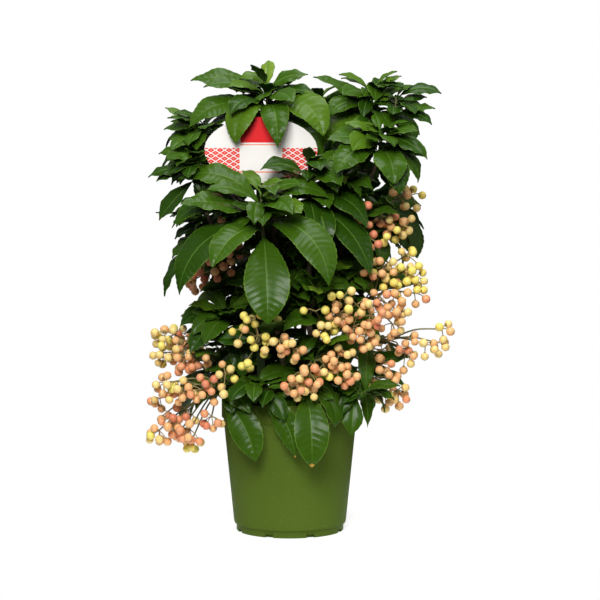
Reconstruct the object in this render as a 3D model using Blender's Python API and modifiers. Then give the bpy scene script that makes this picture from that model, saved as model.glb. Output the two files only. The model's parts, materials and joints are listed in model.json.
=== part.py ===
"""A coral ardisia in its growing pot: pot, soil, picture label, stems, boughs, crowns and sprays of berries.

Metres, +Z up. The origin is the middle of the pot's flat underside, and the label faces -Y.
The plant grows by a seeded rule from the tables below, which are in millimetres; MM makes them metres.
"""
import math
import random

import bmesh
import bpy
import numpy as np

MM = 0.001
GAP = 0.3
GOLDEN_ANGLE = 137.5

# The pot: a tapered 13 cm growing pot with a rim band and a recessed foot
POT_HEIGHT = 127.0
RIM_RADIUS = 65.5
RIM_BAND = 18.0
BODY_TOP_RADIUS = 63.8
BODY_FOOT_RADIUS = 53.6
FOOT_HEIGHT = 7.0
FOOT_RADIUS = 51.4
WALL = 2.0
FLOOR = 2.6
POT_SIDES = 32
DRAIN_HOLES = 8
DRAIN_WIDTH = 8.0
DRAIN_HEIGHT = 2.8
SOIL_TOP = 112.0

# The label: an oval card on a stake, leaning a little away from the front
CARD_X, CARD_Y, CARD_Z = -27.0, -30.0, 364.0
CARD_HALF_WIDTH, CARD_HALF_HEIGHT = 53.0, 31.0
CARD_LEAN = 4.5
CARD_THICKNESS = 0.8
STAKE_TOP_HALF, STAKE_FOOT_HALF = 4.5, 3.5

# Stem: foot x, y, then tip x, y, z, then radius at the foot
STEMS = {
    "stem_centre": (-6, 12, -21, 6, 388, 3.6),
    "stem_left": (-30, 12, -79, 0, 358, 3.4),
    "stem_right": (26, 6, 76, 8, 386, 3.6),
    "stem_front": (-2, -28, -24, -56, 280, 3.2),
    "stem_front_right": (18, -18, 18, -36, 306, 3.0),
    "stem_back": (10, 36, 26, 66, 368, 3.4),
    "stem_back_left": (-24, 34, -52, 60, 338, 3.2),
}
STEM_TIP_RADIUS = 1.7
ROOT_FLARE, FLARE_HEIGHT = 1.3, 7.0
UPRIGHT_FOOT = 4.0

# Bough: its stem, the height it leaves at, then its tip x, y, z
BOUGHS = {
    "bough_far_right": ("stem_right", 344, 98, -8, 388),
    "bough_right_front": ("stem_right", 310, 82, -40, 354),
    "bough_left_front": ("stem_left", 290, -87, -26, 335),
    "bough_back_right": ("stem_back", 220, 72, 58, 290),
}
BOUGH_RADII = (1.9, 1.4)
BOUGH_LIFT = -6.0

# Crown: its limb, shoot length, leaves, then the lowest leaf's azimuth, length, width,
# rise at its foot and fall at its tip
CROWNS = {
    "crown_front": ("stem_front", 42, 17, 92, 96, 34, 20, -76),
    "crown_front_right": ("stem_front_right", 42, 17, -30, 84, 31, 26, -74),
    "crown_centre": ("stem_centre", 36, 20, -42, 82, 32, 30, -76),
    "crown_left": ("stem_left", 34, 16, 172, 60, 25, 20, -64),
    "crown_right": ("stem_right", 34, 20, -100, 74, 28, 20, -80),
    "crown_far_right": ("bough_far_right", 26, 15, 70, 44, 20, 20, -62),
    "crown_right_front": ("bough_right_front", 26, 15, -50, 66, 27, 25, -84),
    "crown_left_front": ("bough_left_front", 20, 12, -20, 46, 21, 20, -50),
    "crown_back": ("stem_back", 40, 19, 80, 82, 31, 25, -78),
    "crown_back_left": ("stem_back_left", 36, 18, 130, 82, 31, 25, -76),
    "crown_back_right": ("bough_back_right", 28, 16, 30, 80, 31, 25, -78),
}
TOP_LEAF_SHARE = 0.45
TOP_LEAF_RISE, TOP_LEAF_FALL = 66, 6

# Side crown: its stem, the height it leaves at, twig tip x, y, z, then leaves and the rest as for a crown
SIDE_CROWNS = {
    "crown_low_left": ("stem_left", 176, -60, -32, 208, 15, 196, 74, 28, 20, -70),
    "crown_low_right": ("stem_right", 200, 66, -22, 250, 15, -60, 78, 30, 30, -70),
    "crown_low_centre": ("stem_centre", 190, -4, -24, 232, 16, -120, 84, 32, 35, -60),
    "crown_middle_right": ("stem_right", 262, 94, 8, 292, 14, -10, 60, 24, 30, -76),
    "crown_high_right": ("stem_right", 296, 42, -34, 332, 14, -20, 76, 27, 40, -66),
    "crown_inner_middle": ("stem_back", 224, 4, 24, 276, 16, 230, 80, 32, 40, -66),
    "crown_inner_right": ("stem_right", 226, 48, 34, 268, 15, 280, 78, 30, 40, -70),
    "crown_inner_left": ("stem_back_left", 186, -38, 14, 236, 15, 260, 76, 30, 40, -66),
    "crown_foot": ("stem_centre", 136, -18, -6, 172, 14, 250, 64, 26, 30, -60),
    "crown_inner_front": ("stem_front_right", 206, 24, -50, 238, 14, 200, 62, 25, 20, -64),
    "crown_middle_left": ("stem_left", 254, -80, 0, 306, 14, 175, 60, 24, 30, -74),
    "crown_back_low": ("stem_back", 176, -8, 78, 240, 16, 100, 84, 32, 30, -76),
}

# Leaves that the front view shows, from the lowest up: azimuth, rise, fall, length, width,
# and for some the sweep and roll
SHOWN_LEAVES = {
    "crown_front": (
        (-84, -30, -88, 98, 43), (-155, 18, -88, 118, 36), (-40, 20, -88, 112, 36), (-172, 50, -58, 98, 32),
        (-158, 28, -10, 82, 31), (-48, 30, -30, 58, 28), (172, 62, -26, 92, 29), (-8, 50, -42, 70, 25)),
    "crown_front_right": (
        (-30, -12, -76, 96, 30), (-22, 28, -74, 76, 26), (-75, 20, -40, 44, 22), (-168, 35, -62, 54, 26),
        (-30, 25, 0, 34, 14), (-10, 60, 0, 42, 18)),
    "crown_centre": (
        (-157, 45, -58, 92, 34), (-40, 40, -90, 90, 35), (-80, 35, -95, 84, 27), (-122, 35, -98, 80, 30),
        (-12, 35, -65, 70, 29), (176, 46, -14, 80, 30), (188, 40, -20, 66, 26), (5, 55, 0, 46, 17),
        (88, 76, 12, 48, 14)),
    "crown_left": (
        (-155, 10, -70, 48, 22), (-165, 10, -55, 40, 22), (178, 30, -25, 36, 18), (175, 57, 16, 48, 18),
        (-62, 10, -40, 50, 26), (186, 25, -14, 40, 18)),
    "crown_right": (
        (-100, 0, -85, 76, 27), (-160, 20, -80, 72, 28), (-165, 10, -50, 54, 21), (-172, 50, 10, 66, 23),
        (5, 50, 10, 44, 16), (-25, 30, -30, 46, 20), (-130, 40, -30, 48, 20), (10, 60, 10, 36, 13)),
    "crown_far_right": (
        (-60, 20, -86, 46, 21), (-5, 30, -12, 40, 15), (-28, 5, -70, 40, 17), (10, 35, -10, 32, 13)),
    "crown_right_front": (
        (-75, 30, -84, 66, 31), (-125, 25, -60, 70, 29), (-12, 12, -94, 56, 21), (-155, 15, -25, 56, 23),
        (-35, 40, -20, 44, 20)),
    "crown_high_right": (
        (-38, 25, -70, 84, 27), (-95, 10, -84, 70, 28), (-150, 25, -50, 62, 23), (-10, 30, -60, 70, 24),
        (-62, 35, -60, 66, 24)),
    "crown_middle_right": ((-40, 25, -88, 74, 25), (-70, 0, -86, 56, 22)),
    "crown_left_front": (
        (190, -40, -56, 54, 24), (-176, 28, -36, 48, 18), (-130, 10, -60, 44, 21), (-80, 0, -80, 46, 22)),
    "crown_middle_left": (
        (196, -14, -84, 78, 26), (188, 0, -64, 48, 20), (180, 14, -50, 38, 18), (-90, 0, -60, 44, 22)),
    "crown_low_left": (
        (190, -10, -34, 62, 22), (-80, -30, -86, 60, 22), (215, 0, -60, 60, 24), (-45, 0, -40, 50, 20)),
    "fruit_left_middle": ((85, 45, -10, 36, 16),),
    "fruit_right_reach": ((-103, -6, -86, 67, 18),),
    "fruit_right_low": ((8, 28, -52, 54, 19), (-72, -30, -100, 52, 13)),
    "skirt_front_left": ((-30, -26, -80, 77, 30, 0, 28), (12, 30, 0, 34, 15)),
    "skirt_front": ((-17, -32, -85, 75, 23, 0, 38), (62, 40, -15, 42, 18)),
    "skirt_front_right": ((-80, -29, -100, 84, 33), (-37, 1, -106, 59, 26), (-165, 5, -40, 36, 20)),
    "skirt_right": ((-105, -50, -86, 44, 20),),
}

# Spray of fruit at the front: its stem, the height it leaves at, hub x, y, z, leaves,
# then each umbel's x, y, z and its berries
SPRAYS = {
    "fruit_left_top": ("stem_left", 160, -80, -16, 152, 3, (
        (-124, -20, 182, 8), (-112, -36, 186, 8), (-112, -6, 170, 6), (-98, -42, 164, 8), (-86, -46, 168, 6),
        (-124, -30, 166, 6))),
    "fruit_left_middle": ("stem_front", 146, -80, -42, 140, 0, (
        (-122, -36, 136, 7), (-106, -46, 130, 7), (-114, -50, 152, 5), (-84, -60, 130, 6), (-70, -66, 142, 8),
        (-56, -68, 150, 5))),
    "fruit_left_low": ("stem_left", 136, -74, -10, 126, 2, (
        (-130, -12, 118, 3), (-129, -22, 86, 8), (-112, -34, 98, 9), (-73, -54, 104, 6), (-94, -30, 78, 5),
        (-106, -6, 86, 7), (-96, -48, 90, 7), (-122, -18, 104, 5), (-100, -34, 113, 6))),
    "fruit_front_left": ("stem_front", 178, -30, -64, 186, 3, (
        (-10, -74, 212, 3), (-37, -78, 203, 4), (-47, -74, 190, 4), (-28, -82, 184, 5), (-18, -84, 176, 4),
        (-40, -74, 158, 3), (-6, -84, 178, 8), (8, -80, 170, 5))),
    "fruit_front_right": ("stem_front_right", 162, 24, -60, 166, 2, (
        (6, -80, 154, 8), (18, -84, 146, 8), (34, -80, 156, 8), (48, -76, 158, 7), (56, -68, 146, 6),
        (8, -84, 136, 6), (54, -72, 169, 4))),
    "fruit_right_front": ("stem_front_right", 186, 40, -52, 192, 4, (
        (46, -74, 208, 9), (64, -66, 192, 9), (34, -74, 196, 5), (76, -58, 182, 8), (52, -66, 180, 7),
        (28, -76, 178, 4), (66, -62, 216, 6), (80, -60, 200, 7), (50, -78, 224, 5), (21, -76, 210, 2))),
    "fruit_right_middle": ("stem_right", 214, 84, -14, 222, 4, (
        (112, -22, 244, 8), (124, -14, 236, 7), (88, -38, 250, 8), (98, -34, 234, 8), (84, -44, 218, 8),
        (104, -32, 218, 7), (124, -12, 219, 4), (92, -46, 204, 7), (104, -36, 202, 6), (76, -50, 234, 6),
        (114, -14, 260, 6), (98, -38, 188, 6))),
    "fruit_right_high": ("stem_right", 276, 62, -34, 290, 2, (
        (56, -54, 290, 7), (72, -52, 276, 8), (68, -50, 298, 5), (34, -50, 308, 4))),
    "fruit_right_top": ("stem_right", 294, 94, -2, 304, 3, (
        (86, -26, 302, 6), (98, -22, 288, 6), (110, -8, 312, 5), (121, 4, 314, 4), (94, -30, 278, 4),
        (106, -14, 278, 5))),
    "fruit_right_reach": ("stem_right", 174, 92, -8, 180, 1, (
        (150, -14, 186, 4), (146, -8, 171, 5), (134, -20, 170, 4), (116, -20, 176, 4), (114, -14, 154, 3),
        (114, -18, 163, 4), (104, -28, 178, 5))),
    "fruit_right_low": ("stem_right", 150, 74, -20, 144, 2, (
        (98, -28, 140, 7), (94, -32, 158, 7), (94, -34, 121, 6), (108, -12, 130, 6), (84, -38, 148, 5))),
    "fruit_left_inner": ("stem_left", 256, -60, -20, 262, 2, (
        (-72, -26, 290, 5), (-80, -32, 262, 5), (-66, -42, 246, 6), (-52, -42, 256, 5), (-86, -26, 242, 5))),
}

# Spray of fruit at the back: its stem, the height it leaves at, hub x, y, z, leaves,
# then the umbels, their azimuth, fan and reach
BACK_SPRAYS = {
    "fruit_back_right": ("stem_back", 168, 62, 62, 160, 3, 5, 42, 120, 42),
    "fruit_back": ("stem_back", 150, 2, 88, 144, 3, 5, 92, 120, 36),
    "fruit_back_left": ("stem_back_left", 172, -74, 62, 164, 3, 5, 140, 120, 40),
    "fruit_back_high": ("stem_back", 262, 30, 98, 258, 3, 4, 80, 150, 28),
    "fruit_back_left_high": ("stem_back_left", 246, -76, 60, 240, 3, 4, 150, 130, 28),
}
BACK_BERRIES = 7
SPRAY_LEAF, SPRAY_LEAF_WIDTH = 58, 23

# Skirt of leaves over the rim: its stem, the height it leaves at, twig tip x, y, z
SKIRTS = {
    "skirt_front_left": ("stem_left", 122, -76, -62, 136),
    "skirt_front": ("stem_front", 132, -40, -66, 142),
    "skirt_front_right": ("stem_front_right", 132, 14, -64, 144),
    "skirt_right": ("stem_right", 132, 70, -58, 138),
    "skirt_back": ("stem_back", 132, 24, 58, 142),
    "skirt_left": ("stem_back_left", 132, -56, 28, 142),
}
# A skirt's leaves away from the front: how many, their azimuth, fan, length and width
SKIRT_FANS = {
    "skirt_right": (3, 60, 70, 44, 21),
    "skirt_back": (6, 70, 130, 80, 31),
    "skirt_left": (6, 160, 120, 80, 31),
}
SKIRT_RISE, SKIRT_FALL = 10, -84

TWIG_RADII = (1.5, 1.0)
STALK_RADII = (0.95, 0.7)
PEDICEL_RADIUS = 0.5
BERRY_RADIUS = 4.1
PEDICEL = 10.5
UMBEL_LIFT = 9.0
SHOWN_BERRY = 9
LEAST_LEAF, LEAST_SHARE = 47, 0.68
BERRY_SIDES = 5

# A leaf's facets: share of its length, share of its half width, depth of the keel under it
LEAF_SECTIONS = ((0.0, 0.0, 0.0), (0.3, 0.86, 1.3), (0.66, 0.92, 1.2), (1.0, 0.0, 0.0))
SMALL_LEAF = 74
SMALL_LEAF_SECTIONS = ((0.0, 0.0, 0.0), (0.46, 1.0, 1.2), (1.0, 0.0, 0.0))
LEAF_STEPS = 12
FREE_SHARE = 0.34
# Turn, tilt and size that a leaf tries in turn where its first place is taken
LEAF_TRIES = (
    (0, 0, 1.0), (7, 0, 1.0), (-7, 0, 1.0), (0, -9, 1.0), (0, 9, 1.0), (13, 8, 1.0), (-13, 8, 1.0),
    (13, -8, 1.0), (-13, -8, 1.0), (0, 18, 0.92), (20, 0, 0.92), (-20, 0, 0.92), (0, 0, 0.8), (10, 12, 0.8),
    (-10, 12, 0.8), (10, -12, 0.8), (-10, -12, 0.8), (26, 0, 0.8), (-26, 0, 0.8), (0, 28, 0.8), (0, -24, 0.8),
    (36, 16, 0.72), (-36, 16, 0.72), (36, -16, 0.72), (-36, -16, 0.72), (0, 0, 0.62), (16, 18, 0.62),
    (-16, 18, 0.62), (16, -18, 0.62), (-16, -18, 0.62),
)
FACE_OUT = 38.0


def vec(x, y, z):
    return np.array((x, y, z), float)


def unit(v):
    return v / max(float(np.linalg.norm(v)), 1e-9)


def bend_line(start, azimuth, rise, fall, length, sweep, steps=LEAF_STEPS):
    """Points along a blade that sets out at a pitch of rise degrees and ends at fall, turning by sweep."""
    share = (np.arange(steps) + 0.5) / steps
    pitch = np.radians(rise + (fall - rise) * share)
    turn = np.radians(azimuth + sweep * share)
    way = np.stack([np.cos(pitch) * np.cos(turn), np.cos(pitch) * np.sin(turn), np.sin(pitch)], axis=1)
    return np.vstack([start, start + np.cumsum(way * length / steps, axis=0)])


def arch(start, end, bow, steps):
    """Points from start to end along an arch whose middle stands off its chord by bow."""
    t = np.linspace(0, 1, steps)[:, None]
    return start + (end - start) * t + bow * 4 * t * (1 - t)


def along(line, step=1.5):
    """The line's points with others between them, at most step apart."""
    found = [line[:1]]
    for a, b in zip(line, line[1:]):
        count = max(1, math.ceil(float(np.linalg.norm(b - a)) / step))
        found.append(a + (b - a) * (np.arange(1, count + 1) / count)[:, None])
    return np.vstack(found)


STEPS_ROUND = [(i, j, k) for i in (-1, 0, 1) for j in (-1, 0, 1) for k in (-1, 0, 1)]
BALL = np.array([unit(vec(*step)) for step in STEPS_ROUND if any(step)])


def thick(points, radius):
    """The points, and others at the radius round each."""
    return np.vstack([points, (points[:, None] + BALL * radius).reshape(-1, 3)])


LIMB, TWIG, BERRY, LEAF = 1, 2, 3, 4


class Room:
    """The space held by each limb and mass, in small cells: the first to claim a cell keeps it."""

    CELL = 1.7
    LOW = vec(-190, -190, 40)
    SIZE = (224, 224, 250)

    def __init__(self):
        self.owner = np.zeros(self.SIZE, np.int16)
        self.kind = np.zeros(self.SIZE, np.int8)
        self.names = [""]

    def number(self, name):
        if name not in self.names:
            self.names.append(name)
        return self.names.index(name)

    def index(self, points):
        return tuple(np.floor((points - self.LOW) / self.CELL).astype(int).T)

    def met(self, points, *free):
        """The owners of these points' cells, other than those in free."""
        found = np.unique(self.owner[self.index(points)])
        return {self.names[n] for n in found if n} - set(free)

    def own_kinds(self, points, name):
        at = self.index(points)
        return set(self.kind[at][self.owner[at] == self.number(name)].tolist())

    def claim(self, points, name, kind):
        """Takes the points' free cells and the free cells round them; the points' own cells note the kind."""
        number = self.number(name)
        x, y, z = self.index(points)
        for i, j, k in STEPS_ROUND:
            at = (x + i, y + j, z + k)
            free = self.owner[at] == 0
            self.owner[tuple(a[free] for a in at)] = number
        own = self.owner[x, y, z] == number
        self.kind[x[own], y[own], z[own]] = kind


def stem_line(foot, tip, dice, steps=10):
    """A stem's points: upright at its cut foot, then leaning out more and more, a little crooked."""
    t = np.linspace(0, 1, steps + 1)
    sway = [np.array([dice.uniform(-1.4, 1.4) * math.sin(math.pi * s) for s in t]) for _ in "xy"]
    x, y = (foot[i] + (tip[i] - foot[i]) * t ** 1.3 + sway[i] for i in (0, 1))
    line = np.stack([x, y, foot[2] + (tip[2] - foot[2]) * t], axis=1)
    return np.vstack([foot, foot + vec(0, 0, UPRIGHT_FOOT), line[1:]])


def stem_radii(line, radius):
    """A steady taper to the tip, with a short flare at the foot."""
    rise = line[:, 2] - line[0, 2]
    return radius + (STEM_TIP_RADIUS - radius) * rise / rise[-1] + ROOT_FLARE * np.exp(-rise / FLARE_HEIGHT)


def side_limb(room, name, limb, line, radii, height, tip, radius, lift):
    """An arch from beside a stem to the tip, bowed aside until it meets nothing, its cut end clear."""
    on = np.array([np.interp(height, line[:, 2], line[:, i]) for i in range(3)])
    stem_radius = float(np.interp(height, line[:, 2], radii))
    flat = unit((tip - on) * (1, 1, 0))
    aside = vec(-flat[1], flat[0], 0)
    for bow in (0, 8, -8, 16, -16, 26, -26):
        for rise in (0, 10, -10, 22):
            arc = aside * bow + vec(0, 0, lift + rise)
            first = unit(arch(on, tip, arc, 6)[1] - on)
            reach = stem_radius + GAP + radius * (abs(first[2]) + 0.15)
            start = on + unit(first * (1, 1, 0)) * reach
            route = arch(start, tip, arc, 6)
            space = thick(along(route), radius)
            clear = np.linalg.norm(space - on, axis=1) > stem_radius + 6
            if not room.met(space[clear], name) and not room.met(along(route), name, limb):
                return route
    return route


def leaf_frames(blade):
    """A blade's centre line, with its side and up vectors."""
    line = bend_line(*(blade[part] for part in ("base", "azimuth", "rise", "fall", "length", "sweep")))
    ahead = np.gradient(line, axis=0)
    ahead /= np.linalg.norm(ahead, axis=1)[:, None]
    turn = np.radians(blade["azimuth"] + blade["sweep"] * np.linspace(0, 1, len(line)))
    level = np.stack([-np.sin(turn), np.cos(turn), 0 * turn], axis=1)
    up = np.cross(ahead, level)
    roll = math.radians(blade["roll"])
    side = level * math.cos(roll) + up * math.sin(roll)
    return line, side, up * math.cos(roll) - level * math.sin(roll)


def facets_of(blade):
    return SMALL_LEAF_SECTIONS if blade["length"] < SMALL_LEAF else LEAF_SECTIONS


def leaf_sections(blade):
    """The blade's facet sections: centre, half-width vector and keel vector of each."""
    line, side, up = leaf_frames(blade)
    share = np.linspace(0, 1, len(line))
    found = []
    for at, breadth, keel in facets_of(blade):
        centre, across, upward = (
            np.array([np.interp(at, share, v[:, i]) for i in range(3)]) for v in (line, side, up))
        found.append((centre, unit(across) * breadth * blade["width"] / 2, -unit(upward) * keel))
    return found


def leaf_points(blade):
    """Points all over the faceted blade, near enough together to find its every cell, and their shares."""
    points, shares = [], []
    sections, facets = leaf_sections(blade), facets_of(blade)
    for i, ((a, side_a, keel_a), (b, side_b, keel_b)) in enumerate(zip(sections, sections[1:])):
        count = math.ceil(float(np.linalg.norm(b - a)) / 1.4)
        across = np.linspace(-1, 1, max(5, math.ceil(blade["width"] / 1.4)))
        for t in np.arange(count + 1) / count:
            centre, side = a + (b - a) * t, side_a + (side_b - side_a) * t
            row = centre + across[:, None] * side
            points.append(np.vstack([row, centre + keel_a + (keel_b - keel_a) * t]))
            shares.append(np.full(len(row) + 1, facets[i][0] * (1 - t) + facets[i + 1][0] * t))
    return np.vstack(points), np.concatenate(shares)


def place_leaf(room, mass, limb, want):
    """The wanted blade, or the first turned or shorter one that meets no other mass, no limb and no fruit.

    Near its foot it may touch its own mass, and further out it does so only where no try avoids it.
    """
    crossing = None
    for turn, tilt, size in LEAF_TRIES:
        blade = dict(want, azimuth=want["azimuth"] + turn, rise=want["rise"] + tilt, fall=want["fall"] + tilt,
                     length=want["length"] * size, width=want["width"] * size)
        points, share = leaf_points(blade)
        if room.met(points[share > 0.12], mass) or room.met(points, mass, limb):
            continue
        if BERRY in room.own_kinds(points, mass):
            continue
        if LEAF in room.own_kinds(points[share > FREE_SHARE], mass):
            crossing = crossing or (blade, points, share)
            continue
        break
    else:
        if crossing is None:
            return None
        blade, points, share = crossing
    room.claim(points[share <= FREE_SHARE], mass, TWIG)
    room.claim(points[share > FREE_SHARE], mass, LEAF)
    return blade


STALK_SHIFTS = ((0, 0, 0), (0, 0, 5), (0, 0, -5), (4, -4, 0), (-4, -4, 0), (4, 4, 3), (-4, 4, 3), (0, -8, 4),
                (0, 8, -4), (8, 0, 6), (-8, 0, 6), (0, 0, 11), (0, 0, -11))


def add_umbel(room, name, mass, root, target, count, dice):
    """A stalk from the twig almost to the target, with berries on pedicels in a cap about the target."""
    twig = mass["twigs"][0][0]
    end = target - 0.55 * PEDICEL * unit(target - twig[-1]) + vec(0, 0, UMBEL_LIFT)
    bow = vec(0, 0, 0.1 * float(np.linalg.norm(end - root)))
    for shift in STALK_SHIFTS:
        stalk = arch(root, end + vec(*shift), bow, 3)
        space = thick(along(stalk)[3:], 1.2)
        if not room.met(space, name) and LEAF not in room.own_kinds(space, name):
            break
    else:
        return
    room.claim(along(stalk), name, BERRY)
    mass["stalks"].append(stalk)
    tip = stalk[-1]
    heading = unit(unit(tip - stalk[-2]) + 0.8 * unit(tip - twig[-1]) + vec(0, 0, -0.15))
    side = unit(np.cross(heading, vec(0.1, 0, 1)))
    over = np.cross(side, heading)
    berries = []
    for k in range(count):
        open_by = 1 - (k + 0.5) / count * 1.3
        ring = math.sqrt(max(0.0, 1 - open_by * open_by))
        spin = math.radians(GOLDEN_ANGLE * k + dice.uniform(-25, 25))
        around = side * math.cos(spin) + over * math.sin(spin)
        way = unit(heading * open_by + around * ring + vec(0, 0, -0.3))
        length = PEDICEL * dice.uniform(0.8, 1.2)
        radius = BERRY_RADIUS * dice.uniform(0.9, 1.07)
        for stretch in (1.0, 1.3, 0.75, 1.6):
            centre = tip + way * length * stretch + vec(0, 0, -1.5)
            space = thick(centre[None], radius)
            if room.met(space, name) or LEAF in room.own_kinds(space, name):
                continue
            others = [(b["centre"], 0.97 * (radius + b["radius"])) for b in mass["berries"]]
            if all(np.linalg.norm(centre - place) > reach for place, reach in others):
                pedicel = np.array([tip, tip + way * length * stretch * 0.55 + vec(0, 0, 0.8), centre])
                berries.append(dict(stalk=pedicel, centre=centre, radius=radius, place=k))
                mass["berries"].append(berries[-1])
                break
    for berry in berries:
        room.claim(along(berry["stalk"]), name, BERRY)
        room.claim(thick(berry["centre"][None], berry["radius"]), name, BERRY)


def card_outline():
    """The label's outline about its card's centre: an oval with a stake below it."""
    foot = -(CARD_Z - SOIL_TOP - GAP) / math.cos(math.radians(CARD_LEAN))
    first = math.asin(STAKE_TOP_HALF / CARD_HALF_WIDTH)
    turns = np.linspace(first, 2 * math.pi - first, 40)
    oval = [(CARD_HALF_WIDTH * math.sin(t), -CARD_HALF_HEIGHT * math.cos(t)) for t in turns]
    return [*oval, (-STAKE_FOOT_HALF, foot), (STAKE_FOOT_HALF, foot)]


def card_points():
    """Points all over the label's card and down its stake."""
    lean = math.radians(CARD_LEAN)
    up = vec(0, math.sin(lean), math.cos(lean))
    foot = (CARD_Z - SOIL_TOP - GAP) / math.cos(lean)
    places = [(i * CARD_HALF_WIDTH, j * CARD_HALF_HEIGHT) for i in np.linspace(-1, 1, 77)
              for j in np.linspace(-1, 1, 45) if i * i + j * j <= 1.02]
    places += [(i, -j) for i in np.linspace(-STAKE_TOP_HALF, STAKE_TOP_HALF, 5)
               for j in np.arange(CARD_HALF_HEIGHT, foot, 1.4)]
    return np.array([vec(CARD_X, CARD_Y, CARD_Z) + vec(1, 0, 0) * i + up * j for i, j in places])


def pot_points():
    """Points on the pot's wall and rim, from where the lowest leaves hang up to the rim."""
    turns = np.radians(np.arange(0, 360, 1.2))
    heights = np.arange(46.0, POT_HEIGHT + 1, 1.4)
    radii = np.interp(heights, (FOOT_HEIGHT, POT_HEIGHT - RIM_BAND - 1, POT_HEIGHT - RIM_BAND, POT_HEIGHT),
                      (BODY_FOOT_RADIUS, BODY_TOP_RADIUS, RIM_RADIUS, RIM_RADIUS))
    return np.array([vec(r * math.cos(t), r * math.sin(t), z) for z, r in zip(heights, radii) for t in turns])


def soil_points():
    """Points all over the soil's flat top."""
    places = np.arange(-RIM_RADIUS, RIM_RADIUS, 1.4)
    return np.array([vec(x, y, SOIL_TOP) for x in places for y in places if math.hypot(x, y) < RIM_RADIUS])


def new_mass(limb, twig, radii):
    return dict(limb=limb, twigs=[(twig, radii)], stalks=[], leaves=[], berries=[])


def back_umbels(number, hub, count, azimuth, fan, reach):
    """Umbels spread in a fan about a hub, some above it and some hanging below."""
    dice = random.Random(201 + number)
    found = []
    for k in range(count):
        turn = math.radians(azimuth + fan * ((k + 0.5) / count - 0.5))
        pitch = -0.9 + 1.3 * ((k * 0.618) % 1)
        far = reach * dice.uniform(0.75, 1.1)
        way = vec(math.cos(turn) * math.cos(pitch), math.sin(turn) * math.cos(pitch), math.sin(pitch))
        found.append((*(hub + far * way), BACK_BERRIES))
    return found


def grow_limbs(room):
    """The stems and boughs, each a line with its radii."""
    limbs = {}
    for number, (name, (foot_x, foot_y, x, y, z, radius)) in enumerate(STEMS.items()):
        line = stem_line(vec(foot_x, foot_y, SOIL_TOP + GAP), vec(x, y, z), random.Random(11 + number))
        limbs[name] = (line, stem_radii(line, radius))
        room.claim(thick(along(line), radius - 0.6), name, LIMB)
    room.claim(card_points(), "plant_label", LIMB)
    for name, (stem, height, x, y, z) in BOUGHS.items():
        line = side_limb(room, name, stem, *limbs[stem], height, vec(x, y, z), BOUGH_RADII[0], BOUGH_LIFT)
        limbs[name] = (line, np.linspace(*BOUGH_RADII, len(line)))
        room.claim(thick(along(line), BOUGH_RADII[1]), name, LIMB)
    return limbs


def grow_twigs(room, limbs, sprays):
    """Each mass with its twig only: the shoot on from a limb's tip, or a twig from a stem's side."""
    masses = {}
    for name, (limb, reach, *_) in CROWNS.items():
        line, radii = limbs[limb]
        ahead = unit(unit(line[-1] - line[-2]) + vec(0, 0, 1.2))
        upright = unit(ahead + vec(0, 0, 0.5))
        tip = line[-1]
        shoot = np.array([tip + (GAP + 0.5) * ahead, tip + reach * 0.5 * ahead, tip + reach * upright])
        masses[name] = new_mass(limb, shoot, (float(radii[-1]), TWIG_RADII[1]))
        room.claim(along(shoot), name, TWIG)
    sides = {name: rule[:5] for name, rule in (SIDE_CROWNS | SKIRTS).items()}
    sides |= {name: (stem, height, *hub) for name, (stem, height, hub, *_) in sprays.items()}
    for name, (stem, height, *tip) in sides.items():
        twig = side_limb(room, name, stem, *limbs[stem], height, vec(*tip), TWIG_RADII[0], 4)
        masses[name] = new_mass(stem, twig, TWIG_RADII)
        room.claim(along(twig), name, TWIG)
    return masses


def on_twig(twig, share):
    """The place on a twig at a share of its points."""
    at = share * (len(twig) - 1)
    return np.array([np.interp(at, np.arange(len(twig)), twig[:, i]) for i in range(3)])


def add_leaf(room, masses, name, share, azimuth, rise, fall, length, width, sweep=0.0, roll=0.0):
    """Adds a leaf at a share of the mass's twig, where there is room, its face rolled out to the light."""
    mass = masses[name]
    base = on_twig(mass["twigs"][0][0], share)
    outward = unit(vec(0.2 * base[0], base[1] - 24, 0))
    turn = math.radians(azimuth)
    roll += FACE_OUT * float(outward @ vec(math.sin(turn), -math.cos(turn), 0))
    want = dict(base=base, azimuth=azimuth, rise=rise, fall=fall)
    want |= dict(length=length, width=width, sweep=sweep, roll=roll)
    blade = place_leaf(room, name, mass["limb"], want)
    if blade:
        mass["leaves"].append(blade)


def add_whorl(room, masses, name, first_share, count, first, length, width, rise, fall, dice):
    """Leaves in a spiral up a twig's end: the low ones large and drooping, the top ones small and upright."""
    for k in range(count):
        age = k / (count - 1)
        size = (1 + (TOP_LEAF_SHARE - 1) * age) * dice.uniform(0.92, 1.08)
        add_leaf(room, masses, name, first_share + (0.98 - first_share) * age,
                 first + GOLDEN_ANGLE * k + dice.uniform(-9, 9),
                 rise + (TOP_LEAF_RISE - rise) * age ** 1.4 + dice.uniform(-8, 8),
                 fall + (TOP_LEAF_FALL - fall) * age ** 1.4 + dice.uniform(-8, 8),
                 length * size, width * size, dice.uniform(-18, 18), dice.uniform(-14, 14))


def add_shown_leaves(room, masses, kind, low):
    """The leaves that show from the front on the masses of one kind, from a share of the twig upward."""
    for name in kind:
        leaves = SHOWN_LEAVES.get(name, ())
        for k, leaf in enumerate(leaves):
            add_leaf(room, masses, name, low + (0.95 - low) * k / len(leaves), *leaf)


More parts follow.
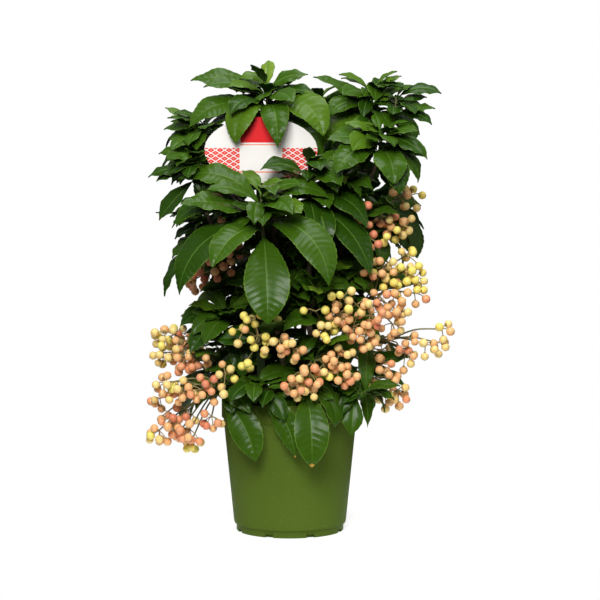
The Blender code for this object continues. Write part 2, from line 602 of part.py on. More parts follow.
def grow():
    """The whole plant: limbs, twigs, leaves that show, sprays, then other leaves, each clear of the last."""
    room = Room()
    room.claim(pot_points(), "pot", LIMB)
    room.claim(soil_points(), "soil", LIMB)
    limbs = grow_limbs(room)
    sprays = {}
    for name, (stem, height, x, y, z, leaves, umbels) in SPRAYS.items():
        sprays[name] = (stem, height, vec(x, y, z), leaves, umbels)
    for number, (name, (stem, height, x, y, z, leaves, *fan)) in enumerate(BACK_SPRAYS.items()):
        sprays[name] = (stem, height, vec(x, y, z), leaves, back_umbels(number, vec(x, y, z), *fan))
    masses = grow_twigs(room, limbs, sprays)
    add_shown_leaves(room, masses, CROWNS, 0.15)
    add_shown_leaves(room, masses, SPRAYS, 0.7)
    for number, (name, (_, _, _, count, _)) in enumerate(sprays.items()):
        dice = random.Random(501 + number)
        twig = masses[name]["twigs"][0][0]
        outward = math.degrees(math.atan2(twig[-1][1] - twig[0][1], twig[-1][0] - twig[0][0]))
        for k in range(count):
            size = dice.uniform(0.8, 1.1)
            add_leaf(room, masses, name, 0.95 - 0.4 * ((k * 0.618) % 1),
                     outward + 180 - GOLDEN_ANGLE * k + dice.uniform(-10, 10),
                     dice.uniform(25, 60), dice.uniform(-50, 0),
                     SPRAY_LEAF * size, SPRAY_LEAF_WIDTH * size, dice.uniform(-15, 15), dice.uniform(-14, 14))
    for number, (name, (_, _, _, _, umbels)) in enumerate(sprays.items()):
        dice = random.Random(101 + number)
        for k, (x, y, z, count) in enumerate(umbels):
            root = on_twig(masses[name]["twigs"][0][0], 0.96 - 0.5 * k / len(umbels))
            add_umbel(room, name, masses[name], root, vec(x, y, z), count, dice)
    add_shown_leaves(room, masses, SIDE_CROWNS, 0.6)
    add_shown_leaves(room, masses, SKIRTS, 0.8)
    for number, (name, (_, _, count, *whorl)) in enumerate(CROWNS.items()):
        count -= len(SHOWN_LEAVES.get(name, ()))
        add_whorl(room, masses, name, 0.1, count, *whorl, random.Random(301 + number))
    for number, (name, (_, _, _, _, _, count, *whorl)) in enumerate(SIDE_CROWNS.items()):
        count -= len(SHOWN_LEAVES.get(name, ()))
        add_whorl(room, masses, name, 0.62, count, *whorl, random.Random(351 + number))
    for number, (name, (count, azimuth, fan, length, width)) in enumerate(SKIRT_FANS.items()):
        dice = random.Random(401 + number)
        for k in range(count):
            size = dice.uniform(0.88, 1.06)
            add_leaf(room, masses, name, 0.98 - 0.25 * ((k * 0.618) % 1),
                     azimuth + fan * ((k + 0.5) / count - 0.5) + dice.uniform(-6, 6),
                     SKIRT_RISE + dice.uniform(-8, 16), SKIRT_FALL + dice.uniform(-3, 8),
                     length * size, width * size, dice.uniform(-10, 10), dice.uniform(-12, 12))
    return limbs, masses


def new_material(name, colour, roughness):
    material = bpy.data.materials.new(name)
    material.use_nodes = True
    surface = material.node_tree.nodes["Principled BSDF"]
    surface.inputs["Base Color"].default_value = (*colour, 1)
    surface.inputs["Roughness"].default_value = roughness
    surface.inputs["Metallic"].default_value = 0
    return material


def new_object(name, data, material, collection):
    made = bpy.data.objects.new(name, data)
    data.materials.append(material)
    collection.objects.link(made)
    return made


def turned(name, profile, material, collection):
    """A solid of revolution. The profile, radius and height, starts and ends on the axis."""
    mesh = bpy.data.meshes.new(name)
    points = [(radius * MM, 0, height * MM) for radius, height in profile]
    mesh.from_pydata(points, [(i, i + 1) for i in range(len(points) - 1)], [])
    made = new_object(name, mesh, material, collection)
    screw = made.modifiers.new("turn", "SCREW")
    screw.steps = POT_SIDES
    screw.render_steps = POT_SIDES
    screw.use_merge_vertices = True
    screw.merge_threshold = 0.0001
    return made


def make_pot(material, collection, cutters):
    """The pot's shell and floor, with drain holes through the corner of the foot."""
    profile = [
        (0, FLOOR), (FOOT_RADIUS - WALL, FLOOR), (FOOT_RADIUS - WALL + 0.2, FOOT_HEIGHT + 0.4),
        (BODY_FOOT_RADIUS - WALL, FOOT_HEIGHT + 2.4), (BODY_TOP_RADIUS - WALL, POT_HEIGHT - RIM_BAND - 0.4),
        (RIM_RADIUS - WALL - 0.2, POT_HEIGHT - RIM_BAND + 1.4), (RIM_RADIUS - WALL - 0.2, POT_HEIGHT),
        (RIM_RADIUS - 0.7, POT_HEIGHT), (RIM_RADIUS, POT_HEIGHT - 0.7),
        (RIM_RADIUS, POT_HEIGHT - RIM_BAND + 0.6), (RIM_RADIUS - 0.6, POT_HEIGHT - RIM_BAND),
        (BODY_TOP_RADIUS, POT_HEIGHT - RIM_BAND - 0.4),
        (BODY_FOOT_RADIUS, FOOT_HEIGHT + 1.2), (BODY_FOOT_RADIUS - 0.9, FOOT_HEIGHT),
        (FOOT_RADIUS, FOOT_HEIGHT - 0.4), (FOOT_RADIUS, 0.8), (FOOT_RADIUS - 0.8, 0), (0, 0),
    ]
    pot = turned("pot", profile, material, collection)
    for i in range(DRAIN_HOLES):
        turn = 2 * math.pi * (i + 0.5) / DRAIN_HOLES
        bpy.ops.mesh.primitive_cube_add(
            size=1, location=(FOOT_RADIUS * MM * math.cos(turn), FOOT_RADIUS * MM * math.sin(turn), 0),
            rotation=(0, 0, turn), scale=(8 * MM, DRAIN_WIDTH * MM, 2 * DRAIN_HEIGHT * MM))
        cutter = bpy.context.object
        cutter.name = f"drain_cutter_{i + 1}"
        cutter.hide_render = True
        cutter.display_type = "WIRE"
        for holder in list(cutter.users_collection):
            holder.objects.unlink(cutter)
        cutters.objects.link(cutter)
    holes = pot.modifiers.new("drain holes", "BOOLEAN")
    holes.operand_type = "COLLECTION"
    holes.operation = "DIFFERENCE"
    holes.collection = cutters
    return pot


def make_soil(material, collection):
    """The peat that fills the pot, clear of its inside, flat where the stems are cut."""
    profile = [
        (0, SOIL_TOP), (BODY_TOP_RADIUS - WALL - 0.8, SOIL_TOP),
        (BODY_TOP_RADIUS - WALL - 0.8, POT_HEIGHT - RIM_BAND - 2.5),
        (BODY_FOOT_RADIUS - WALL - 0.6, FOOT_HEIGHT + 2.8), (FOOT_RADIUS - WALL - 0.5, FOOT_HEIGHT + 0.5),
        (FOOT_RADIUS - WALL - 0.5, FLOOR + GAP), (0, FLOOR + GAP),
    ]
    return turned("soil", profile, material, collection)


def make_label(material, collection):
    """The oval card and its stake, one flat piece."""
    curve = bpy.data.curves.new("plant_label", "CURVE")
    curve.dimensions = "2D"
    curve.fill_mode = "BOTH"
    curve.extrude = CARD_THICKNESS / 2 * MM
    outline = card_outline()
    spline = curve.splines.new("POLY")
    spline.points.add(len(outline) - 1)
    for point, (x, y) in zip(spline.points, outline):
        point.co = (x * MM, y * MM, 0, 1)
    spline.use_cyclic_u = True
    label = new_object("plant_label", curve, material, collection)
    label.location = (CARD_X * MM, CARD_Y * MM, CARD_Z * MM)
    label.rotation_euler = (math.radians(90 - CARD_LEAN), 0, 0)
    return label


def make_limb(name, line, radii, material, collection):
    """A stem or bough: one tapering tube with closed ends."""
    curve = bpy.data.curves.new(name, "CURVE")
    curve.dimensions = "3D"
    curve.bevel_depth = MM
    curve.bevel_resolution = 1
    curve.use_fill_caps = True
    spline = curve.splines.new("POLY")
    spline.points.add(len(line) - 1)
    for point, place, radius in zip(spline.points, line, radii):
        point.co = (*(place * MM), 1)
        point.radius = radius
    return new_object(name, curve, material, collection)


def add_loft(mesh, rings):
    """A closed skin over rings of as many points each; a first or last ring of one point is a pointed end."""
    made = [[mesh.verts.new(tuple(point * MM)) for point in ring] for ring in rings]
    for a, b in zip(made, made[1:]):
        for i in range(max(len(a), len(b))):
            corners = [a[i % len(a)], a[(i + 1) % len(a)], b[(i + 1) % len(b)], b[i % len(b)]]
            mesh.faces.new(list(dict.fromkeys(corners)))
    for ring in (made[0][::-1], made[-1]):
        if len(ring) > 1:
            mesh.faces.new(ring)


def twig_rings(line, radii):
    """Three-sided rings along a twig."""
    ahead = np.gradient(line, axis=0)
    side = unit(np.cross(ahead[0], vec(0.3, 0.2, 1)))
    rings = []
    for place, way, radius in zip(line, ahead, np.linspace(*radii, len(line))):
        way = unit(way)
        side = unit(side - way * float(side @ way))
        over = np.cross(way, side)
        turns = [2 * math.pi * i / 3 for i in range(3)]
        rings.append([place + radius * (side * math.cos(t) + over * math.sin(t)) for t in turns])
    return rings


def berry_rings(berry):
    """A berry and its pedicel in one: a point sunk in the stalk's tip, the berry's foot, belt and tip."""
    start, centre, radius = berry["stalk"][0], berry["centre"], berry["radius"]
    ahead = unit(centre - start)
    side = unit(np.cross(ahead, vec(0.3, 0.2, 1)))
    over = np.cross(ahead, side)
    turns = [2 * math.pi * i / BERRY_SIDES for i in range(BERRY_SIDES)]
    rings = [[start - ahead]]
    for along_by, out in ((-1.0, PEDICEL_RADIUS), (-0.5, 0.9 * radius), (0.45, 0.95 * radius)):
        middle = centre + ahead * radius * along_by
        rings.append([middle + out * (side * math.cos(t) + over * math.sin(t)) for t in turns])
    return [*rings, [centre + ahead * radius]]


def leaf_rings(blade):
    """A leaf's pointed foot, its three-point sections with a keel below, and its pointed tip."""
    rings = []
    for centre, side, keel in leaf_sections(blade):
        rings.append([centre] if not side.any() else [centre - side, centre + side, centre + keel])
    return rings


def make_mass(name, mass, leaf_material, berry_material, collection):
    """One mass joined into one body: its twig, its stalks, its larger leaves, and one berry of each umbel."""
    pieces = bpy.data.collections.new(name + "_pieces")
    bpy.context.scene.collection.children.link(pieces)

    def add_piece(piece_name, rings, material, holder):
        mesh = bmesh.new()
        add_loft(mesh, rings)
        bmesh.ops.recalc_face_normals(mesh, faces=mesh.faces)
        data = bpy.data.meshes.new(piece_name)
        mesh.to_mesh(data)
        mesh.free()
        return new_object(piece_name, data, material, holder)

    shapes = [([line[:1], *twig_rings(line, STALK_RADII)[1:]], leaf_material) for line in mass["stalks"]]
    least = min(LEAST_LEAF, LEAST_SHARE * max(blade["length"] for blade in mass["leaves"]))
    shapes += [(leaf_rings(blade), leaf_material) for blade in mass["leaves"] if blade["length"] > least]
    shapes += [(berry_rings(b), berry_material) for b in mass["berries"] if b["place"] % SHOWN_BERRY == 1]
    for number, (rings, material) in enumerate(shapes):
        add_piece(f"{name}_{number}", rings, material, pieces)
    made = add_piece(name, twig_rings(*mass["twigs"][0]), leaf_material, collection)
    join = made.modifiers.new("join", "BOOLEAN")
    join.operand_type = "COLLECTION"
    join.operation = "UNION"
    join.collection = pieces
    join.solver = "EXACT"
    join.material_mode = "TRANSFER"
    graph = bpy.context.evaluated_depsgraph_get()
    joined = bpy.data.meshes.new_from_object(made.evaluated_get(graph))
    made.modifiers.clear()
    made.data = joined
    for piece in list(pieces.objects):
        bpy.data.objects.remove(piece)
    bpy.data.collections.remove(pieces)
    return made


def build():
    for old in list(bpy.data.objects):
        bpy.data.objects.remove(old)
    plant = bpy.data.collections.new("potted_coral_ardisia")
    cutters = bpy.data.collections.new("cutters")
    for collection in (plant, cutters):
        bpy.context.scene.collection.children.link(collection)
    pot_green = new_material("pot plastic", (0.075, 0.13, 0.02), 0.45)
    peat = new_material("peat", (0.035, 0.022, 0.014), 0.95)
    card = new_material("label card", (0.8, 0.76, 0.7), 0.35)
    bark = new_material("bark", (0.13, 0.085, 0.05), 0.8)
    leaf_green = new_material("leaf green", (0.035, 0.11, 0.015), 0.35)
    coral = new_material("coral berry", (0.8, 0.28, 0.13), 0.3)
    make_pot(pot_green, plant, cutters)
    make_soil(peat, plant)
    make_label(card, plant)
    limbs, masses = grow()
    for name, (line, radii) in limbs.items():
        make_limb(name, line, radii, bark, plant)
    for name, mass in masses.items():
        make_mass(name, mass, leaf_green, coral, plant)


build()
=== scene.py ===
import json
import math
import random

import bmesh
import bpy
import numpy as np
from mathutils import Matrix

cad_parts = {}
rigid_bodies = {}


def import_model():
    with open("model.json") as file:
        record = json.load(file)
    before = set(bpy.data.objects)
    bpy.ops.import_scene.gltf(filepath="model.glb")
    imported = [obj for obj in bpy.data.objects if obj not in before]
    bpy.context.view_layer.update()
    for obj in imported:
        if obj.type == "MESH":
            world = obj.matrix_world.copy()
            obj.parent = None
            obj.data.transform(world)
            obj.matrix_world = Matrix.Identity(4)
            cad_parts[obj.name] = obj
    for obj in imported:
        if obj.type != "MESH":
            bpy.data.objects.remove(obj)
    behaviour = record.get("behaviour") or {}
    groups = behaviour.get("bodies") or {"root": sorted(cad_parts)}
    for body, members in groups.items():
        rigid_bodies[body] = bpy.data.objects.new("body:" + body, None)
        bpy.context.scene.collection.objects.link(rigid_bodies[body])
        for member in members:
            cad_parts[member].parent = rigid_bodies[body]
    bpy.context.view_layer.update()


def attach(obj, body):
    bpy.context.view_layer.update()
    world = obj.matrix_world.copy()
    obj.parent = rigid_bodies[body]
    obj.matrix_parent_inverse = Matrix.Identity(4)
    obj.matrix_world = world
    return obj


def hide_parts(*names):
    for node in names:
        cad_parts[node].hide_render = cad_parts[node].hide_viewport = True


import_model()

# The pot is one blow-moulded piece of olive polypropylene with a rolled rim and a recessed foot. Eight small
# arches let water out under it. The plastic is satin, a little cloudy, with faint marks from handling.
MM = 0.001
POT_HEIGHT = 127.0
RIM_RADIUS = 65.5
RIM_BAND = 18.0
BODY_TOP_RADIUS = 63.8
BODY_FOOT_RADIUS = 53.6
FOOT_HEIGHT = 7.0
FOOT_RADIUS = 51.4
WALL = 2.0
FLOOR = 2.6
DRAIN_HOLES = 8
DRAIN_WIDTH = 8.0
DRAIN_HEIGHT = 2.8
POT_TURNS = 144
POT_GREEN, POT_SHADE = (0.073, 0.121, 0.0145), (0.062, 0.097, 0.0115)


class Wire:
    """An output socket of a node. An expression on wires adds Math nodes to their tree."""

    def __init__(self, board, socket):
        self.board = board
        self.socket = socket

    def __add__(self, other):
        return self.board.math("ADD", self, other)

    def __sub__(self, other):
        return self.board.math("SUBTRACT", self, other)

    def __mul__(self, other):
        return self.board.math("MULTIPLY", self, other)

    def __lt__(self, other):
        return self.board.math("LESS_THAN", self, other)

    def __gt__(self, other):
        return self.board.math("GREATER_THAN", self, other)

    def __rsub__(self, other):
        return self.board.math("SUBTRACT", other, self)

    __radd__ = __add__
    __rmul__ = __mul__

    def also(self, output):
        """Another output of the same node."""
        return Wire(self.board, self.socket.node.outputs[output])


class Board:
    """A node tree to which nodes are added one call at a time."""

    def __init__(self, tree):
        self.tree = tree

    def node(self, kind, settings=None, sockets=(), output=0):
        """Adds a node: its settings first, then values or wires into its sockets. Gives one of its outputs."""
        made = self.tree.nodes.new(kind)
        for setting, value in (settings or {}).items():
            if setting == "stops":
                for stop, (place, colour) in zip(list(made.color_ramp.elements), value):
                    stop.position = place
                    stop.color = colour
            else:
                setattr(made, setting, value)
        for key, value in sockets.items() if isinstance(sockets, dict) else enumerate(sockets):
            if isinstance(value, Wire):
                self.tree.links.new(value.socket, made.inputs[key])
            else:
                made.inputs[key].default_value = value
        return Wire(self, made.outputs[output]) if made.outputs else None

    def math(self, operation, first, second):
        return self.node("ShaderNodeMath", dict(operation=operation), (first, second))

    def mix(self, share, first, second):
        """Two colours mixed by a share. Each is a wire or three numbers."""
        colours = [c if isinstance(c, Wire) else (*c, 1) for c in (first, second)]
        return self.node("ShaderNodeMix", dict(data_type="RGBA"), {0: share, 6: colours[0], 7: colours[1]}, 2)

    def noise(self, scale, detail=2.0, place=None):
        """Soft noise from 0 to 1, so many features to the metre."""
        place = place or self.node("ShaderNodeTexCoord", output="Object")
        return self.node("ShaderNodeTexNoise", None, {"Vector": place, "Scale": scale, "Detail": detail})


def new_finish(name, colour, roughness, **sockets):
    """A material, as its board and its surface shader's sockets."""
    material = bpy.data.materials.new(name)
    material.use_nodes = True
    surface = material.node_tree.nodes["Principled BSDF"]
    surface.inputs["Base Color"].default_value = (*colour, 1)
    surface.inputs["Roughness"].default_value = roughness
    for socket, value in sockets.items():
        surface.inputs[socket.replace("_", " ")].default_value = value
    return material, Board(material.node_tree), surface.inputs


def feed(board, wire, socket):
    board.tree.links.new(wire.socket, socket)


def bump(board, sockets, height, strength, depth):
    """Relief from a height wire, so deep in metres."""
    feed(board, board.node("ShaderNodeBump", None, {"Strength": strength, "Distance": depth, "Height": height}),
         sockets["Normal"])


def new_piece(name, points, faces, materials, smooth=True, slots=None):
    """A mesh object at the origin from points in millimetres."""
    mesh = bpy.data.meshes.new(name)
    mesh.from_pydata((np.asarray(points) * MM).tolist(), [], faces)
    for material in materials:
        mesh.materials.append(material)
    mesh.polygons.foreach_set("use_smooth", np.full(len(mesh.polygons), smooth))
    if slots is not None:
        mesh.polygons.foreach_set("material_index", np.asarray(slots, np.int32))
    mesh.update()
    piece = bpy.data.objects.new(name, mesh)
    bpy.context.scene.collection.objects.link(piece)
    return piece


def turned(profile, turns):
    """The points and faces of a profile, radius and height, turned about +Z. It starts and ends on the axis."""
    rings = []
    points, faces = [], []
    for radius, height in profile:
        rings.append(range(len(points), len(points) + (turns if radius else 1)))
        for i in range(len(rings[-1])):
            turn = 2 * math.pi * i / turns
            points.append((radius * math.cos(turn), radius * math.sin(turn), height))
    for a, b in zip(rings, rings[1:]):
        for i in range(turns):
            corners = [a[i % len(a)], a[(i + 1) % turns % len(a)], b[(i + 1) % turns % len(b)], b[i % len(b)]]
            faces.append(list(dict.fromkeys(corners)))
    return points, faces


def point_outward(mesh):
    shaped = bmesh.new()
    shaped.from_mesh(mesh)
    bmesh.ops.recalc_face_normals(shaped, faces=shaped.faces)
    shaped.to_mesh(mesh)
    shaped.free()


RIM_ROLL = [(1.0 - math.cos(t), math.sin(t)) for t in np.linspace(0, math.pi, 9)]
pot_profile = [
    (0, FLOOR), (FOOT_RADIUS - WALL - 0.8, FLOOR), (FOOT_RADIUS - WALL, FLOOR + 0.8),
    (FOOT_RADIUS - WALL + 0.2, FOOT_HEIGHT + 0.4), (BODY_FOOT_RADIUS - WALL, FOOT_HEIGHT + 2.4),
    (BODY_TOP_RADIUS - WALL, POT_HEIGHT - RIM_BAND - 0.4), (RIM_RADIUS - WALL - 0.2, POT_HEIGHT - RIM_BAND + 1.4),
    *((RIM_RADIUS - WALL - 0.2 + across * (WALL + 0.2) / 2, POT_HEIGHT - 1.0 + up) for across, up in RIM_ROLL),
    (RIM_RADIUS, POT_HEIGHT - RIM_BAND + 0.8), (RIM_RADIUS - 0.15, POT_HEIGHT - RIM_BAND + 0.3),
    (RIM_RADIUS - 0.7, POT_HEIGHT - RIM_BAND), (BODY_TOP_RADIUS + 0.1, POT_HEIGHT - RIM_BAND - 0.3),
    (BODY_TOP_RADIUS, POT_HEIGHT - RIM_BAND - 1.0), (BODY_FOOT_RADIUS + 0.5, FOOT_HEIGHT + 4.0),
    (BODY_FOOT_RADIUS + 0.1, FOOT_HEIGHT + 1.4), (BODY_FOOT_RADIUS - 0.3, FOOT_HEIGHT + 0.4),
    (BODY_FOOT_RADIUS - 0.9, FOOT_HEIGHT), (FOOT_RADIUS, FOOT_HEIGHT - 0.4), (FOOT_RADIUS, 0.8),
    (FOOT_RADIUS - 0.25, 0.25), (FOOT_RADIUS - 0.8, 0), (0, 0),
]
plastic, board, sockets = new_finish("olive pot plastic", POT_GREEN, 0.45, Specular_IOR_Level=0.025)
cloud = board.noise(22, 3)
specks = board.noise(900, 1)
scuffs = board.noise(120, 4)
speck = (specks > 0.73) * 0.6
feed(board, board.mix(speck, board.mix(cloud, POT_SHADE, POT_GREEN), (0.2, 0.26, 0.09)), sockets["Base Color"])
feed(board, 0.36 + scuffs * 0.24, sockets["Roughness"])
bump(board, sockets, cloud * 0.8 + scuffs * 0.2, 0.35, 0.0006)
pot = new_piece("growing_pot", *turned(pot_profile, POT_TURNS), [plastic])
point_outward(pot.data)
arches = bpy.data.collections.new("drain arches")
for i in range(DRAIN_HOLES):
    turn = 2 * math.pi * (i + 0.5) / DRAIN_HOLES
    bpy.ops.mesh.primitive_cube_add(
        size=1, location=(FOOT_RADIUS * MM * math.cos(turn), FOOT_RADIUS * MM * math.sin(turn), 0),
        rotation=(0, 0, turn), scale=(8 * MM, DRAIN_WIDTH * MM, 2 * DRAIN_HEIGHT * MM))
    arch_block = bpy.context.object
    for holder in list(arch_block.users_collection):
        holder.objects.unlink(arch_block)
    arches.objects.link(arch_block)
cut = pot.modifiers.new("drain arches", "BOOLEAN")
cut.operand_type = "COLLECTION"
cut.operation = "DIFFERENCE"
cut.collection = arches
pot.data = bpy.data.meshes.new_from_object(pot.evaluated_get(bpy.context.evaluated_depsgraph_get()))
pot.modifiers.clear()
for block in list(arches.objects):
    bpy.data.objects.remove(block)
bpy.data.collections.remove(arches)
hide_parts("pot")
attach(pot, "root")

# The peat is dark brown fibre, pressed in by hand and a little sunk and uneven since. Crumbs lie loose on it.
# It is one filled body, with the crumbs scattered over its top.
SOIL_TOP = 112.0
PEAT_DARK, PEAT_BROWN = (0.012, 0.008, 0.006), (0.05, 0.032, 0.02)
CRUMBS = 420
peat_radius = BODY_TOP_RADIUS - WALL - 0.8
peat_profile = [(0, SOIL_TOP)]
peat_profile += [(r, SOIL_TOP) for r in np.linspace(2.5, peat_radius, 26)]
peat_profile += [(peat_radius, POT_HEIGHT - RIM_BAND - 2.5), (BODY_FOOT_RADIUS - WALL - 0.6, FOOT_HEIGHT + 2.8),
                 (FOOT_RADIUS - WALL - 0.4, FOOT_HEIGHT + 0.5), (FOOT_RADIUS - WALL - 0.5, FLOOR + 1.0),
                 (FOOT_RADIUS - WALL - 1.4, FLOOR + 0.3), (0, FLOOR + 0.3)]
peat_points, peat_faces = turned(peat_profile, 96)
dice = random.Random(7)
waves = [(dice.uniform(-0.5, 0.5), dice.uniform(-0.5, 0.5), dice.uniform(0, 6.3), dice.uniform(0.1, 0.35))
         for _ in range(24)]
peat_points = [(x, y, z - 0.9 + sum(h * math.sin(a * x + b * y + c) for a, b, c, h in waves) * 0.8
                if z == SOIL_TOP else z) for x, y, z in peat_points]
peat, board, sockets = new_finish("peat", PEAT_BROWN, 0.95)
fibre = board.noise(700, 6)
feed(board, board.mix(fibre, PEAT_DARK, PEAT_BROWN), sockets["Base Color"])
bump(board, sockets, fibre, 0.9, 0.002)
filling = new_piece("peat", peat_points, peat_faces, [peat])
point_outward(filling.data)
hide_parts("soil")
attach(filling, "root")


def new_tree(name, inputs):
    """A geometry tree with a board, and its group input's wire. The inputs are names with their socket types."""
    tree = bpy.data.node_groups.new(name, "GeometryNodeTree")
    tree.interface.new_socket("Geometry", in_out="INPUT", socket_type="NodeSocketGeometry")
    for label, kind in inputs.items():
        tree.interface.new_socket(label, in_out="INPUT", socket_type=kind)
    tree.interface.new_socket("Geometry", in_out="OUTPUT", socket_type="NodeSocketGeometry")
    board = Board(tree)
    return board, board.node("NodeGroupInput")


def finish_tree(board, geometry, given):
    """Realizes the instances, gives them their material and ends the tree."""
    real = board.node("GeometryNodeRealizeInstances", None, (geometry,))
    painted = board.node("GeometryNodeSetMaterial", None, {"Geometry": real, "Material": given.also("Material")})
    board.node("NodeGroupOutput", None, (painted,))
    return board.tree


def run_tree(name, tree, points, edges, attributes, settings, materials=()):
    """A plain mesh piece: the tree run on points in millimetres with their attributes, then taken off again."""
    mesh = bpy.data.meshes.new(name)
    mesh.from_pydata((np.asarray(points) * MM).tolist(), edges, [])
    for label, values in attributes.items():
        values = np.asarray(values, np.float32)
        kind = "FLOAT" if values.ndim == 1 else "FLOAT_VECTOR"
        layer = mesh.attributes.new(label, kind, "POINT")
        layer.data.foreach_set("value" if values.ndim == 1 else "vector", values.ravel())
    piece = bpy.data.objects.new(name, mesh)
    bpy.context.scene.collection.objects.link(piece)
    grown = piece.modifiers.new("grown", "NODES")
    grown.node_group = tree
    sockets = {item.name: item.identifier for item in tree.interface.items_tree if item.in_out == "INPUT"}
    for label, value in settings.items():
        grown[sockets[label]] = value
    made = bpy.data.meshes.new_from_object(piece.evaluated_get(bpy.context.evaluated_depsgraph_get()))
    piece.modifiers.clear()
    piece.data = made
    made.name = name
    return piece


def scatter_tree():
    """A tree that sets a shape on every point, turned so that its +Z goes the point's way, at the point's size."""
    board, given = new_tree("set on points", {"Shape": "NodeSocketObject", "Material": "NodeSocketMaterial"})
    shape = board.node("GeometryNodeObjectInfo", None, {"Object": given.also("Shape")}, "Geometry")
    way = board.node("GeometryNodeInputNamedAttribute", dict(data_type="FLOAT_VECTOR"), {"Name": "way"})
    size = board.node("GeometryNodeInputNamedAttribute", dict(data_type="FLOAT"), {"Name": "size"})
    turn = board.node("FunctionNodeAlignRotationToVector", dict(axis="Z"), {"Vector": way})
    placed = board.node("GeometryNodeInstanceOnPoints", None,
                        {"Points": given, "Instance": shape, "Rotation": turn, "Scale": size})
    return finish_tree(board, placed, given)


on_points = scatter_tree()
crumb = new_piece("crumb_shape", [(1000 * x, 1000 * y, 1000 * z) for x, y, z in
                                  ((-1, 0, 0.1), (0.2, -0.9, 0), (1.1, 0.1, -0.1), (0, 0.8, 0.2), (0, 0.1, 0.7),
                                   (0.1, 0, -0.6))],
                  [(0, 1, 4), (1, 2, 4), (2, 3, 4), (3, 0, 4), (1, 0, 5), (2, 1, 5), (3, 2, 5), (0, 3, 5)], [peat], False)
spots = []
while len(spots) < CRUMBS:
    x, y = dice.uniform(-peat_radius, peat_radius), dice.uniform(-peat_radius, peat_radius)
    if math.hypot(x, y) < peat_radius - 2:
        spots.append((x, y, SOIL_TOP - 0.7 + sum(h * math.sin(a * x + b * y + c) for a, b, c, h in waves) * 0.8))
crumbs = run_tree("peat_crumbs", on_points, spots, [],
                  dict(way=[(dice.uniform(-1, 1), dice.uniform(-1, 1), dice.uniform(-1, 1)) for _ in spots],
                       size=[dice.uniform(0.4, 1.1) * MM for _ in spots]),
                  dict(Shape=crumb, Material=peat))
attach(crumbs, "root")
bpy.data.objects.remove(crumb)

# The label is an oval card of white plastic on a narrow stake, pushed into the peat and leaning back a little. The
# stake is given a near-black green as painted shade, so that it sinks into the dark middle of the plant.
# It is printed in coral and red on its front, here with a plain pattern of bands and lozenges, and bare behind.
CARD_X, CARD_Y, CARD_Z = -27.0, -30.0, 364.0
CARD_HALF_WIDTH, CARD_HALF_HEIGHT = 53.0, 31.0
CARD_LEAN = 4.5
CARD_THICKNESS = 0.8
STAKE_TOP_HALF, STAKE_FOOT_HALF = 4.5, 3.5
GAP = 0.3
CARD_WHITE, CARD_RED, CARD_CORAL = (0.8, 0.77, 0.73), (0.7, 0.012, 0.016), (0.83, 0.25, 0.16)
# The stake's near-black green is painted shade, so that it is lost in the dark middle of the plant.
STAKE_PAINTED_SHADE = (0.015, 0.025, 0.008)


def card_outline():
    """The label's outline about its card's centre: an oval with a stake below it."""
    foot = -(CARD_Z - SOIL_TOP - GAP) / math.cos(math.radians(CARD_LEAN))
    first = math.asin(STAKE_TOP_HALF / CARD_HALF_WIDTH)
    turns = np.linspace(first, 2 * math.pi - first, 40)
    oval = [(CARD_HALF_WIDTH * math.sin(t), -CARD_HALF_HEIGHT * math.cos(t)) for t in turns]
    return [*oval, (-STAKE_FOOT_HALF, foot), (STAKE_FOOT_HALF, foot)]

card_outline_points = card_outline()
card, board, sockets = new_finish("printed card", CARD_WHITE, 0.45, Specular_IOR_Level=0.1)
print_place = board.node("ShaderNodeUVMap", dict(uv_map="print"))
apart = board.node("ShaderNodeSeparateXYZ", None, (print_place,))
across, up = apart, apart.also("Y")


def lozenges(board, across, up, size, fill):
    """1 inside the lozenges of a grid, and 0 between them."""
    cells = []
    for way in (across + up * 1.6, across - up * 1.6):
        wave = board.node("ShaderNodeMath", dict(operation="SINE"), (way * (math.pi / size),))
        cells.append(board.node("ShaderNodeMath", dict(operation="ABSOLUTE"), (wave,)))
    return (cells[0] > fill) * (cells[1] > fill)


away = board.node("ShaderNodeMath", dict(operation="ABSOLUTE"), (across,))
wings = (away > 20.0) * (up < 2.0)
head = (up > 7.0) * (away < 19.0)
small = lozenges(board, across, up, 8.5, 0.3)
inner = lozenges(board, across, up, 8.5, 0.88)
rule_line = (up > 4.6) * (up < 5.6) * (away < 19.0)
low_line = (up < -20.0) * (up > -21.2) * (away < 30.0)
inked = board.mix(wings * small, CARD_WHITE, CARD_RED)
inked = board.mix(wings * inner, inked, CARD_CORAL)
inked = board.mix(head, inked, CARD_RED)
inked = board.mix(rule_line, inked, CARD_CORAL)
inked = board.mix(low_line, inked, CARD_CORAL)
feed(board, inked, sockets["Base Color"])
bare_card, board, sockets = new_finish("bare card", CARD_WHITE, 0.35)
# Painted shade: the stake is coloured near-black so that it sinks into the dark middle of the plant.
stake_painted_shade, board, sockets = new_finish("stake plastic painted as shade", STAKE_PAINTED_SHADE, 0.7, Specular_IOR_Level=0.05)
feed(board, board.mix(board.noise(300, 2), STAKE_PAINTED_SHADE, (0.02, 0.03, 0.01)), sockets["Base Color"])
lean = math.radians(CARD_LEAN)
card_up = np.array((0, math.sin(lean), math.cos(lean)))
card_face = np.array((0, -math.cos(lean), math.sin(lean)))
edge = len(card_outline_points)
card_middle = np.array((CARD_X, CARD_Y, CARD_Z))
card_corners = [card_middle + np.array((x, 0, 0)) + y * card_up + side * card_face * CARD_THICKNESS / 2
                for side in (1, -1) for x, y in card_outline_points]
oval = list(range(edge - 2))
stake = [edge - 3, edge - 2, edge - 1, 0]
card_faces = [oval, stake, [edge + i for i in oval[::-1]], [edge + i for i in stake[::-1]]]
card_faces += [[(i + 1) % edge, i, edge + i, edge + (i + 1) % edge] for i in range(edge)]
card_slots = [0, 2, 1, 2] + [1] * (edge - 3) + [2] * 3
